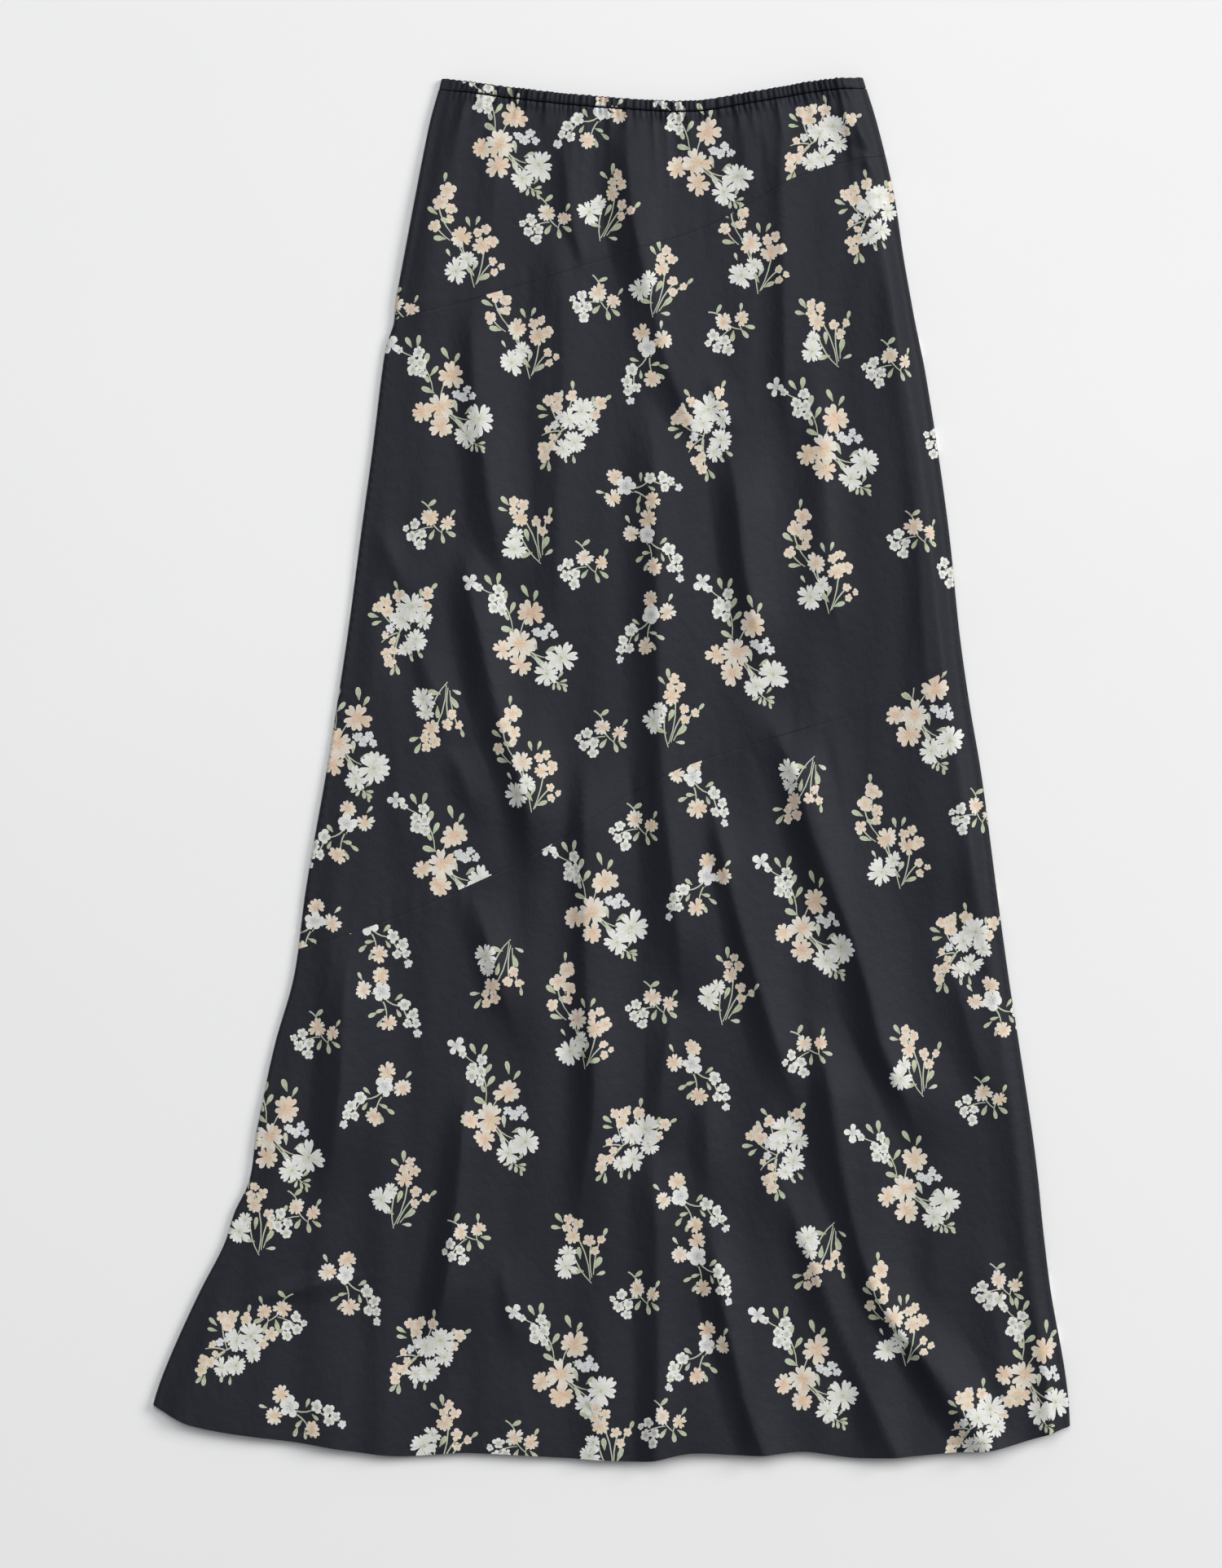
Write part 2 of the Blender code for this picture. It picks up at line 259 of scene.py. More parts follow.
# Ridges in the front: the crest's path of (x, down), its height, and how far its steep left flank
# and its soft right flank reach.
Fold = namedtuple("Fold", "path height steep soft")
FRONT_FOLDS = (
    # from the waist
    Fold(((-34, 4), (-32, 60), (-26, 105), (-15, 142), (-4, 168)), 4.0, 14, 20),
    Fold(((11, 4), (12, 60), (18, 110), (28, 152), (38, 196), (54, 240), (68, 280)), 7.8, 23, 44),
    Fold(((121, 2), (120, 60), (121, 110), (122, 170), (123, 225), (128, 275)), 6.7, 18, 39),
    Fold(((92, 10), (94, 50), (98, 95)), 2.5, 12, 18),
    Fold(((-78, 10), (-80, 60), (-84, 120)), 2.2, 18, 26),
    Fold(((157, 12), (172, 36), (194, 66)), 3.6, 21, 26),
    Fold(((170, 44), (182, 62), (199, 86)), 2.9, 16, 16),
    Fold(((193, 84), (198, 150), (201, 205), (207, 260), (215, 320), (220, 400), (230, 485)), 5.6, 23, 34),
    # along the sides
    Fold(((-110, -4), (-121, 60), (-136, 130), (-147, 190)), 5.0, 16, 44),
    Fold(((172, 40), (182, 90), (190, 140), (203, 207), (211, 260), (220, 322), (228, 390),
          (242, 490), (258, 610)), 5.8, 84, 24),
    Fold(((272, 560), (284, 660), (296, 760), (304, 850), (308, 950), (310, 1040)), 3.6, 30, 22),
    # over the hips
    Fold(((-99, 142), (-96, 215), (-90, 262), (-82, 312), (-70, 378)), 6.3, 19, 34),
    Fold(((-40, 92), (-34, 160), (-33, 230), (-37, 300), (-36, 410)), 4.7, 24, 39),
    Fold(((24, 222), (30, 262), (32, 330), (33, 400), (35, 452), (38, 510), (44, 560), (48, 610),
          (52, 668)), 9.4, 26, 47),
    Fold(((62, 196), (76, 230), (87, 262)), 3.8, 16, 16),
    Fold(((78, 236), (88, 292), (94, 345), (104, 392), (113, 440)), 8.3, 21, 34),
    Fold(((138, 190), (148, 245), (151, 300), (156, 350), (164, 425)), 4.3, 19, 34),
    Fold(((-176, 305), (-160, 325), (-148, 352), (-142, 385)), 3.4, 18, 21),
    Fold(((-106, 318), (-98, 365), (-89, 405), (-78, 450), (-68, 482), (-59, 515), (-55, 570)), 10.5, 21, 39),
    Fold(((-143, 375), (-131, 412), (-118, 450), (-112, 490)), 3.6, 18, 23),
    Fold(((-118, 458), (-104, 492), (-92, 530)), 3.6, 16, 23),
    Fold(((-160, 372), (-152, 460), (-146, 570)), 2.9, 24, 36),
    Fold(((98, 430), (114, 456), (130, 490), (142, 530), (156, 568), (168, 602), (180, 640),
          (189, 676), (204, 712), (222, 760)), 11.8, 24, 44),
    Fold(((154, 436), (161, 490), (170, 560)), 3.1, 19, 26),
    # down the skirt
    Fold(((-20, 462), (-19, 520), (-18, 590), (-17, 640), (-12, 690), (-12, 726), (-17, 765),
          (-26, 825)), 8.3, 23, 39),
    Fold(((-104, 560), (-88, 600), (-76, 640), (-62, 690)), 6.9, 19, 34),
    Fold(((-182, 588), (-187, 660), (-190, 720), (-201, 800)), 7.8, 21, 44),
    Fold(((66, 486), (78, 540), (88, 585), (98, 620), (109, 655), (120, 690), (138, 745)), 9.2, 21, 36),
    Fold(((230, 590), (247, 650), (262, 700), (290, 752)), 4.3, 19, 34),
    Fold(((47, 628), (40, 680), (35, 722), (33, 772)), 5.6, 18, 34),
    Fold(((-99, 690), (-103, 740), (-107, 785), (-112, 830), (-120, 872), (-130, 915)), 9.4, 21, 44),
    Fold(((140, 650), (152, 700), (160, 752), (169, 800), (181, 842), (198, 872), (222, 903),
          (242, 932), (272, 975), (300, 1030)), 11.4, 23, 42),
    Fold(((66, 700), (68, 745), (70, 800)), 3.4, 18, 21),
    Fold(((28, 738), (32, 800), (33, 860), (34, 905), (32, 960), (30, 1040)), 7.4, 21, 39),
    Fold(((112, 748), (128, 796), (144, 838), (160, 878), (177, 918), (200, 968), (230, 1040)), 6.3, 21, 39),
    Fold(((70, 790), (76, 840), (81, 872), (88, 902), (95, 932), (108, 970), (130, 1040)), 9.6, 19, 36),
    Fold(((-82, 808), (-73, 856), (-62, 905)), 3.8, 19, 31),
    Fold(((-188, 836), (-214, 849), (-242, 864)), 2.9, 32, 44),
    Fold(((-12, 838), (-8, 890), (-10, 960), (-14, 1040)), 3.1, 23, 36),
    Fold(((-178, 850), (-184, 905), (-196, 970), (-210, 1040)), 2.9, 24, 39),
    Fold(((-66, 900), (-60, 950), (-58, 1040)), 2.7, 21, 34),
    Fold(((258, 800), (268, 860), (278, 930), (290, 1040)), 3.6, 24, 36),
    Fold(((-240, 700), (-246, 750), (-258, 812)), 3.4, 18, 23),
)

# Soft creases in the back, which lift it off the surface a little.
BACK_FOLDS = (
    Fold(((-60, 60), (-70, 180), (-82, 330)), 0.8, 10, 22),
    Fold(((70, 40), (84, 170), (100, 320)), 0.9, 10, 24),
    Fold(((150, 200), (176, 380), (205, 560)), 0.9, 12, 26),
    Fold(((-20, 330), (-26, 480), (-40, 640)), 0.9, 12, 28),
    Fold(((-120, 420), (-140, 560), (-170, 720)), 0.8, 12, 26),
    Fold(((60, 520), (72, 660), (96, 820)), 0.9, 12, 30),
    Fold(((-90, 700), (-104, 800), (-130, 930)), 0.9, 12, 28),
    Fold(((190, 680), (214, 790), (246, 910)), 0.9, 12, 28),
)


# ------------------------------------------------------------------ lines and soft steps
def through(rows):
    """A smooth function through (place, value) rows, straight on beyond both ends."""
    pairs = np.array([tuple(row)[:2] for row in rows], float)
    places = pairs[:, 0]
    values = pairs[:, 1]
    index = np.arange(len(places))
    low = np.maximum(index - 1, 0)
    high = np.minimum(index + 1, len(places) - 1)
    slopes = (values[high] - values[low]) / (places[high] - places[low])

    def value_at(place):
        place = np.asarray(place, float)
        i = np.clip(np.searchsorted(places, place, side="right") - 1, 0, len(places) - 2)
        span = places[i + 1] - places[i]
        reach = (place - places[i]) / span
        t = np.clip(reach, 0.0, 1.0)
        blend = t * t * (3.0 - 2.0 * t)
        leave = t * (1.0 - t) ** 2 * span * slopes[i]
        arrive = -t * t * (1.0 - t) * span * slopes[i + 1]
        beyond = (reach - t) * span * np.where(reach < 0.0, slopes[i], slopes[i + 1])
        return values[i] * (1.0 - blend) + values[i + 1] * blend + leave + arrive + beyond

    return value_at


def ease(amount):
    """0 to 1 with level ends, for an amount between 0 and 1."""
    t = np.clip(amount, 0.0, 1.0)
    return t * t * (3.0 - 2.0 * t)


left_seam = through([(side.down, side.left) for side in SIDES])
right_seam = through([(side.down, side.right) for side in SIDES])
waist_edge = through(WAIST_EDGE)
yoke_seam = through(YOKE_SEAM)
lower_seam = through(LOWER_SEAM)
hem_edge = through(HEM_EDGE)


def with_waves(value, waves, place):
    """A value with waves along the way added to it."""
    for wave in waves:
        value = value + wave.size * np.sin(wave.rate * place + wave.phase)
    return value


def shifted(line, distance):
    """The same line, moved down by a distance."""
    return lambda across: line(across) + distance


casing_line = shifted(waist_edge, CASING_DEPTH)


def across_at(x, down):
    """0 at the left side seam, 1 at the right one."""
    left = left_seam(down)
    return (x - left) / (right_seam(down) - left)


# ------------------------------------------------------------------ the cloth's shape
def fold_crest(fold):
    """The x of a fold's crest, for a distance down."""
    return through([(point[1], point[0]) for point in fold.path])


def fold_lift(fold, crest, x, down):
    """How far one fold lifts the cloth, steep on its left and soft on its right."""
    top = fold.path[0][1]
    foot = fold.path[-1][1]
    fade = min(FOLD_TAPER, FOLD_ENDS * (foot - top))
    taper = ease((down - top) / fade) * ease((foot - down) / fade)
    swell = 1.0 + FOLD_SWELL * np.sin(down / FOLD_SWELL_LENGTH + top)
    aside = x - crest(down)
    reach = np.where(aside > 0.0, fold.soft * swell, fold.steep)
    away = np.sqrt(aside ** 2 + CREST_ROUND ** 2) - CREST_ROUND
    share = np.clip(1.0 - away / reach, 0.0, 1.0)
    return fold.height * taper * swell * share ** FLANK_BEND


FRONT_CRESTS = [fold_crest(fold) for fold in FRONT_FOLDS]
BACK_CRESTS = [fold_crest(fold) for fold in BACK_FOLDS]


def folds_together(folds, crests, x, down):
    """Folds that meet run into each other without a sharp valley."""
    total = np.zeros(np.broadcast(x, down).shape)
    for fold, crest in zip(folds, crests):
        total += fold_lift(fold, crest, x, down) ** 3
    return np.cbrt(total)


Gather = namedtuple("Gather", "across lift width length lean")


def make_gathers(seed, count):
    """Uneven little pleats that hang from the casing."""
    draw = np.random.default_rng(seed)
    gathers = []
    for i in range(count):
        place = (i + 0.5 + draw.uniform(-GATHER_STRAY, GATHER_STRAY)) / count
        long_one = draw.random() < LONG_GATHERS
        length = draw.uniform(*(LONG_GATHER if long_one else SHORT_GATHER))
        gathers.append(Gather(place, draw.uniform(*GATHER_LIFT), draw.uniform(*GATHER_WIDTH),
                              length, draw.uniform(-GATHER_LEAN, GATHER_LEAN)))
    return gathers


FRONT_GATHERS = make_gathers(seed=11, count=GATHERS)
BACK_GATHERS = make_gathers(seed=12, count=GATHERS)


def gathered(gathers, x, down):
    """Height of the small pleats below the casing."""
    left = left_seam(down)
    width = right_seam(down) - left
    below = down - casing_line((x - left) / width)
    total = np.zeros(np.broadcast(x, down).shape)
    for gather in gathers:
        fade = ease(1.0 - below / gather.length)
        crest = left + gather.across * width + gather.lean * below
        spread = gather.width * (1.0 + np.maximum(below, 0.0) / GATHER_SPREAD)
        away = np.sqrt((x - crest) ** 2 + GATHER_ROUND ** 2) - GATHER_ROUND
        total += gather.lift * fade * np.clip(1.0 - away / spread, 0.0, 1.0) ** FLANK_BEND
    return total


def casing_puckers(across):
    """The elastic's close, uneven ridges, from 0 to 1 along the waist."""
    turns = with_waves(PUCKERS * across, PUCKER_SPACING, across)
    depth = with_waves(PUCKER_DEPTH, PUCKER_DEPTHS, across)
    return depth * np.sqrt(np.sin(math.pi * turns) ** 2 + PUCKER_ROUND)


def pucker_fade(below):
    """How much of the ridges is left at a distance below the top edge."""
    return ease(1.0 - (below - CASING_DEPTH) / PUCKER_FADE)


def casing_relief(across, below):
    """The rounded casing, pinched where it is stitched, with its puckers."""
    share = np.clip(below / CASING_DEPTH, 0.0, 1.0)
    tube = CASING_BULGE * (1.0 - (2.0 * share - 1.0) ** 4)
    pinch = -CASING_PINCH * np.exp(-((below - CASING_DEPTH) / CASING_PINCH_SPREAD) ** 2)
    return tube + pinch + PUCKER_LIFT * casing_puckers(across) * pucker_fade(below)


def ripples(seed, count, size_across, size_down):
    """A slow uneven swell of the whole cloth: a sum of seeded waves, from 0 to 1."""
    draw = np.random.default_rng(seed)
    waves = []
    for _ in range(count):
        waves.append((draw.uniform(*RIPPLE_ACROSS) / size_across,
                      draw.uniform(*RIPPLE_DOWN) / size_down,
                      draw.uniform(0.0, 2.0 * math.pi)))

    def height(x, down):
        total = np.zeros(np.broadcast(x, down).shape)
        for across_rate, down_rate, phase in waves:
            total += np.sin(x * across_rate + down * down_rate + phase)
        return 0.5 + 0.5 * total / count

    return height


slow_swell = ripples(seed=21, count=9, size_across=8.5, size_down=60.0)
small_swell = ripples(seed=22, count=10, size_across=4.4, size_down=18.0)
back_swell = ripples(seed=23, count=7, size_across=15.0, size_down=40.0)
pucker_swell = ripples(seed=24, count=6, size_across=2.2, size_down=26.0)

left_height = through(LEFT_HEIGHTS)
right_height = through(RIGHT_HEIGHTS)


def edge_radii(down):
    """Radius of the rounded edge at the left and at the right side seam."""
    waves = np.sin(down / LEFT_WAVE) + LEFT_SMALL_SHARE * np.sin(down / LEFT_SMALL_WAVE + 2.0)
    left = left_height(down) + SIDE_WAVE * waves
    right = right_height(down) + SIDE_WAVE * np.sin(down / RIGHT_WAVE)
    return left / 2.0, right / 2.0


def seam_puckers(across, x, down):
    """Height of the small uneven puckers along the slanting seams."""
    near = 0.0
    for seam in (yoke_seam, lower_seam):
        near = near + np.exp(-((down - seam(across)) / SEAM_REACH) ** 2)
    uneven = slow_swell(2.0 * x, 40.0 + 0.0 * down) ** 2
    strong = LEAST_SEAM_PUCKER + (1.0 - LEAST_SEAM_PUCKER) * uneven
    return SEAM_PUCKER * near * strong * pucker_swell(x, down)


def front_top(x, down):
    """Height of the front's outer face, apart from its rounded sides."""
    across = across_at(x, down)
    below = down - waist_edge(across)
    waist = WAIST_RISE * ease(1.0 - below / WAIST_REACH)
    quick, slow = HEM_WAVE_RATES
    wave = HEM_RISE + HEM_WAVE * np.sin(quick * across + 0.4) * np.cos(slow * across)
    hem = wave * ease(1.0 - (hem_edge(across) - down) / HEM_REACH)
    swell = SLOW_SWELL * slow_swell(x, down) + SMALL_SWELL * small_swell(x, down)
    lifted = folds_together(FRONT_FOLDS, FRONT_CRESTS, x, down)
    lifted = lifted + gathered(FRONT_GATHERS, x, down) + waist + hem + swell
    lifted = lifted + seam_puckers(across, x, down)
    extra = np.maximum(lifted - MOST_LIFT, 0.0)
    lifted = np.minimum(lifted, MOST_LIFT) + SPARE_LIFT * (1.0 - np.exp(-extra / SPARE_LIFT))
    return lifted + casing_relief(across, below)


def side_shape(q, down):
    """Where a place in the cloth's own measure lies.

    Returns its x, its x once it is rounded, its turn round the edge, its fall by that turn, how
    much of the folds reaches it, and how much the sides lift it.
    """
    left, right = edge_radii(down)
    first = left_seam(down) + left
    last = right_seam(down) - right
    x = np.clip(q, first, last)
    turn_left = np.maximum(first - q, 0.0) / left
    turn_right = np.maximum(q - last, 0.0) / right
    x_round = x - left * np.sin(turn_left) + right * np.sin(turn_right)
    fall = left * (1.0 - np.cos(turn_left)) + right * (1.0 - np.cos(turn_right))
    lift = (2.0 * left - LAYING) * ease(1.0 - (x - first) / SIDE_REACH)
    lift = lift + (2.0 * right - LAYING) * ease(1.0 - (last - x) / SIDE_REACH)
    fade = ease((x - first) / LEFT_FADE) * ease((last - x) / RIGHT_FADE)
    return x, x_round, turn_left + turn_right, fall, fade, lift


def scalloped(across, down):
    """How far the elastic's ridges push the top edge up."""
    below = down - waist_edge(across)
    return SCALLOP * casing_puckers(across) * ease(1.0 - below / CASING_DEPTH) + 0.0 * down


def turned_hem(above):
    """1 on the turned hem and 0 off it, for a distance above the hem's edge."""
    return ease((HEM_DEPTH + HEM_EDGE_BLEND - above) / (2.0 * HEM_EDGE_BLEND))


def hem_groove(above):
    """How deep the hem's stitches are pressed in."""
    return HEM_GROOVE * np.exp(-((above - HEM_DEPTH) / HEM_GROOVE_SPREAD) ** 2)


def hem_relief(across, down):
    """The turned hem's extra thickness, with its row of stitches pressed in."""
    above = hem_edge(across) - down
    return HEM_BULGE * turned_hem(above) - hem_groove(above)


def seam_dip(across, down):
    """How near a slanting seam is, from 0 to 1: the cloth dips there."""
    near = np.zeros(np.broadcast(across, down).shape)
    for seam in (yoke_seam, lower_seam):
        near += np.exp(-((down - seam(across)) / SEAM_SPREAD) ** 2)
    return near


def seam_step(across, down):
    """The cloth's rise over the seam allowances, which are pressed downwards."""
    rise = np.zeros(np.broadcast(across, down).shape)
    for seam in (yoke_seam, lower_seam):
        below = np.maximum(down - seam(across), 0.0)
        rise += SEAM_STEP * ease(below / SEAM_STEP_WIDTH) * np.exp(-below / SEAM_STEP_REACH)
    return rise


def front_face(q, down):
    """The front's outer face, in millimetres: (x, down, height)."""
    x, x_round, turn, fall, fade, side = side_shape(q, down)
    across = across_at(x, down)
    height = LAYING + side + front_top(x, down) * fade
    relief = hem_relief(across, down) - SEAM_DIP * seam_dip(across, down)
    relief = relief + seam_step(across, down)
    height = height + relief * np.cos(turn)
    return np.stack([x_round, down - scalloped(across, down), height - fall], -1)


def back_face(q, down):
    """The back's outer face, which lies on the surface, in millimetres: (x, down, height)."""
    x, x_round, turn, fall, fade, _ = side_shape(q, down)
    across = across_at(x, down)
    below = down - waist_edge(across)
    lifted = folds_together(BACK_FOLDS, BACK_CRESTS, x, down)
    lifted = lifted + BACK_GATHER * gathered(BACK_GATHERS, x, down)
    lifted = lifted + BACK_SWELL * back_swell(x, down)
    lifted = lifted + BACK_PUCKER_LIFT * casing_puckers(across) * pucker_fade(below)
    lifted = lifted * fade - BACK_DROP
    groove = hem_groove(hem_edge(across) - down) + BACK_SEAM_DIP * seam_dip(across, down)
    height = np.maximum(lifted, 0.0) + groove * np.cos(turn)
    return np.stack([x_round, down - scalloped(across, down), height + fall], -1)


def seam_places(down):
    """Both side seams in the cloth's own measure, which follows it round the edge."""
    left, right = edge_radii(down)
    longer = math.pi / 2.0 - 1.0
    return left_seam(down) - left * longer, right_seam(down) + right * longer


def facing(face, q, down, up):
    """The face's outward direction."""
    aside = face(q + NORMAL_STEP, down) - face(q - NORMAL_STEP, down)
    ahead = face(q, down - NORMAL_STEP) - face(q, down + NORMAL_STEP)
    aside[..., 1] *= -1.0
    ahead[..., 1] *= -1.0
    normal = np.cross(aside, ahead) * up
    return normal / np.linalg.norm(normal, axis=-1, keepdims=True)


class Measure:
    """How far along the cloth each place is, so that the print lies on it without stretching."""

    def __init__(self, face):
        self.rows = np.arange(*MEASURED_DOWN, MEASURE_STEP)
        self.places = np.arange(*MEASURED_ACROSS, 1.0)
        q, down = np.meshgrid(self.places, self.rows)
        points = face(q, down)
        steps = np.hypot(np.diff(points[..., 0], axis=1), np.diff(points[..., 2], axis=1))
        start = np.full((len(self.rows), 1), self.places[0])
        self.reach = np.hstack([start, start + np.cumsum(steps, axis=1)])

    def at(self, q, down):
        """Distance along the cloth, measured sideways."""
        row = np.clip((down - self.rows[0]) / MEASURE_STEP, 0, len(self.rows) - 1.001)
        column = np.clip(q - self.places[0], 0, len(self.places) - 1.001)
        i = row.astype(int)
        j = column.astype(int)
        s = row - i
        t = column - j
        upper = self.reach[i, j] * (1 - t) + self.reach[i, j + 1] * t
        lower = self.reach[i + 1, j] * (1 - t) + self.reach[i + 1, j + 1] * t
        return upper * (1 - s) + lower * s

    def place_of(self, distance, down):
        """The place that is this far along the cloth."""
        q = np.array(distance, float)
        low = np.full(q.shape, self.places[0])
        high = np.full(q.shape, self.places[-1])
        for _ in range(HALVINGS):
            middle = 0.5 * (low + high)
            short = self.at(middle, down) < distance
            low = np.where(short, middle, low)
            high = np.where(short, high, middle)
        return 0.5 * (low + high)


# ------------------------------------------------------------------ the print's drawing
def tone(red, green, blue):
    """A linear colour from one as a screen shows it, 0 to 255, by the standard sRGB curve."""
    shares = np.array((red, green, blue), float) / 255.0
    return np.where(shares <= 0.04045, shares / 12.92, ((shares + 0.055) / 1.055) ** 2.4)


Ink = namedtuple("Ink", "body heart rim")
GROUND = tone(27, 29, 37)
INKS = {
    "white": Ink(tone(221, 220, 215), tone(203, 208, 189), tone(227, 227, 224)),
    "cream": Ink(tone(218, 212, 198), tone(217, 194, 169), tone(225, 220, 209)),
    "peach": Ink(tone(218, 206, 187), tone(215, 182, 151), tone(224, 215, 200)),
    "blush": Ink(tone(216, 196, 172), tone(215, 182, 151), tone(224, 211, 193)),
    "sage": Ink(tone(198, 204, 190), tone(156, 166, 142), tone(220, 223, 215)),
    "lilac": Ink(tone(208, 210, 212), tone(184, 188, 190), tone(222, 223, 226)),
    "leaf": Ink(tone(180, 188, 158), tone(160, 170, 136), tone(200, 206, 184)),
    "pale_leaf": Ink(tone(196, 200, 180), tone(178, 186, 160), tone(208, 212, 198)),
    "stem": Ink(tone(180, 187, 162), tone(168, 177, 148), tone(190, 196, 174)),
    "sage_heart": Ink(tone(180, 187, 160), tone(190, 195, 170), tone(180, 187, 160)),
    "warm_heart": Ink(tone(218, 196, 164), tone(216, 184, 148), tone(218, 196, 164)),
    "grey_heart": Ink(tone(168, 171, 165), tone(168, 171, 165), tone(168, 171, 165)),
}

# Half outlines, from base to tip: how far along, and how wide.
NOTCHED = ((0.0, 0.18), (0.34, 0.6), (0.72, 1.0), (0.94, 0.84), (1.0, 0.44))
NOTCH = 0.82
ROUNDED = ((0.0, 0.2), (0.4, 0.82), (0.76, 0.98), (0.98, 0.36))
PADDLE = ((0.0, 0.14), (0.24, 0.5), (0.5, 0.94), (0.76, 0.94), (0.95, 0.46))

Mark = namedtuple("Mark", "outline start along aside ink")
Kind = namedtuple("Kind", "petals width outline ink heart heart_ink heart_size")
KINDS = {
    "daisy": Kind(7, 0.268, NOTCHED, "white", "white", "sage_heart", 0.13),
    "cream": Kind(6, 0.33, NOTCHED, "cream", "blush", "warm_heart", 0.11),
    "peach": Kind(5, 0.395, NOTCHED, "peach", "blush", "warm_heart", 0.10),
    "white": Kind(5, 0.38, ROUNDED, "white", "lilac", "grey_heart", 0.09),
    "floret": Kind(5, 0.39, ROUNDED, "white", "sage", "sage_heart", 0.15),
    "lilac": Kind(5, 0.38, ROUNDED, "lilac", "white", "grey_heart", 0.12),
    "blush": Kind(5, 0.39, ROUNDED, "peach", "blush", "warm_heart", 0.13),
    "propeller": Kind(4, 0.34, ROUNDED, "white", "lilac", "sage_heart", 0.12),
}
HEART_SIDES = 6
LEAF_WIDTH = 0.19
LEAF_GROWTH = 1.14
STEM_WIDTH = 0.55
STEM_TAPER = 0.45           # the share of its width that a stem loses
STEM_STEPS = (0.0, 0.25, 0.5, 0.75, 1.0)

# How much one flower, petal or leaf differs from the next: turns in radians, the rest as shares.
FLOWER_TURN = 0.4
FLOWER_SQUEEZE = (0.78, 0.98)   # flowers are seen a little from the side
PETAL_LENGTH = 0.535            # of the flower's size
PETAL_LENGTHS = (0.82, 1.1)
PETAL_WIDTHS = (0.86, 1.12)
PETAL_TURN = 0.13
DEEPER_PETALS = 0.2             # how many of the petals have the heart's stronger ink
LEAF_TURN = 0.15
LEAF_WIDTHS = (0.9, 1.15)
INK_SPREAD = 0.05
MOST_INK = 0.9                  # no ink is lighter than this


def petal_mark(start, angle, length, width, half, ink, notch=0.0):
    """One petal or leaf: its outline, and how a place is found along and across it."""
    along = np.array((math.cos(angle), math.sin(angle))) * length
    aside = np.array((-math.sin(angle), math.cos(angle))) * length * width
    start = np.array(start, float)
    one_side = [start + along * a + aside * w for a, w in half]
    other_side = [start + along * a - aside * w for a, w in reversed(half)]
    tip = [start + along * notch] if notch else []
    return Mark(one_side + tip + other_side, start, along, aside, ink)


def varied(ink, draw):
    """An ink as this one petal shows it, a little lighter or darker."""
    share = 1.0 + draw.uniform(-INK_SPREAD, INK_SPREAD)
    return Ink(*(np.clip(colour * share, 0.0, MOST_INK) for colour in ink))


def flower_marks(kind, x, y, size, turn, draw):
    """A flower from above: its petals, then its heart."""
    shape = KINDS[kind]
    marks = []
    start_turn = math.radians(turn) + draw.uniform(-FLOWER_TURN, FLOWER_TURN)
    tilt = draw.uniform(0.0, math.pi)
    squeeze = draw.uniform(*FLOWER_SQUEEZE)
    order = draw.permutation(shape.petals)
    for petal in order:
        angle = start_turn + 2.0 * math.pi * petal / shape.petals
        angle += draw.uniform(-PETAL_TURN, PETAL_TURN)
        shorter = 1.0 - (1.0 - squeeze) * abs(math.cos(angle - tilt))
        length = PETAL_LENGTH * size * shorter * draw.uniform(*PETAL_LENGTHS)
        width = shape.width * draw.uniform(*PETAL_WIDTHS) / shorter
        ink = INKS[shape.ink]
        if draw.random() < DEEPER_PETALS and kind in ("cream", "peach"):
            ink = INKS[shape.heart]
        ink = Ink(ink.body, INKS[shape.heart].heart if kind != "daisy" else ink.heart, ink.rim)
        notch = NOTCH if shape.outline is NOTCHED else 0.0
        marks.append(petal_mark((x, y), angle, length, width, shape.outline,
                                varied(ink, draw), notch))
    radius = shape.heart_size * size * 0.5
    ring = []
    for side in range(HEART_SIDES):
        angle = 2.0 * math.pi * side / HEART_SIDES
        ring.append(np.array((x + radius * math.cos(angle), y + radius * math.sin(angle))))
    along = np.array((radius * 4.0, 0.0))
    heart = varied(INKS[shape.heart_ink], draw)
    marks.append(Mark(ring, np.array((x, y), float), along, along[::-1], heart))
    return marks


def stem_mark(x, y, to_x, to_y, bend):
    """A thin curved stem, tapered to its end."""
    start = np.array((x, y), float)
    end = np.array((to_x, to_y), float)
    along = end - start
    length = np.linalg.norm(along)
    aside = np.array((-along[1], along[0])) / length
    one_side = []
    other_side = []
    for share in STEM_STEPS:
        middle = start + along * share + aside * bend * 4.0 * share * (1.0 - share)
        half = STEM_WIDTH * (1.0 - STEM_TAPER * share)
        one_side.append(middle + aside * half)
        other_side.append(middle - aside * half)
    return Mark(one_side + other_side[::-1], start, along, aside * STEM_WIDTH, INKS["stem"])


# What each sprig holds, in millimetres from its middle: x to the right and y downwards.  A
# flower's size is its diameter and a leaf's its length, and turn is in degrees.
Stem = namedtuple("Stem", "x y to_x to_y bend")
Bit = namedtuple("Bit", "kind x y size turn")
Sprig = namedtuple("Sprig", "stems bits")


def several(kind, *rows):
    """Leaves or flowers of one kind: x, y, size and turn of each."""
    return tuple(Bit(kind, *row) for row in rows)


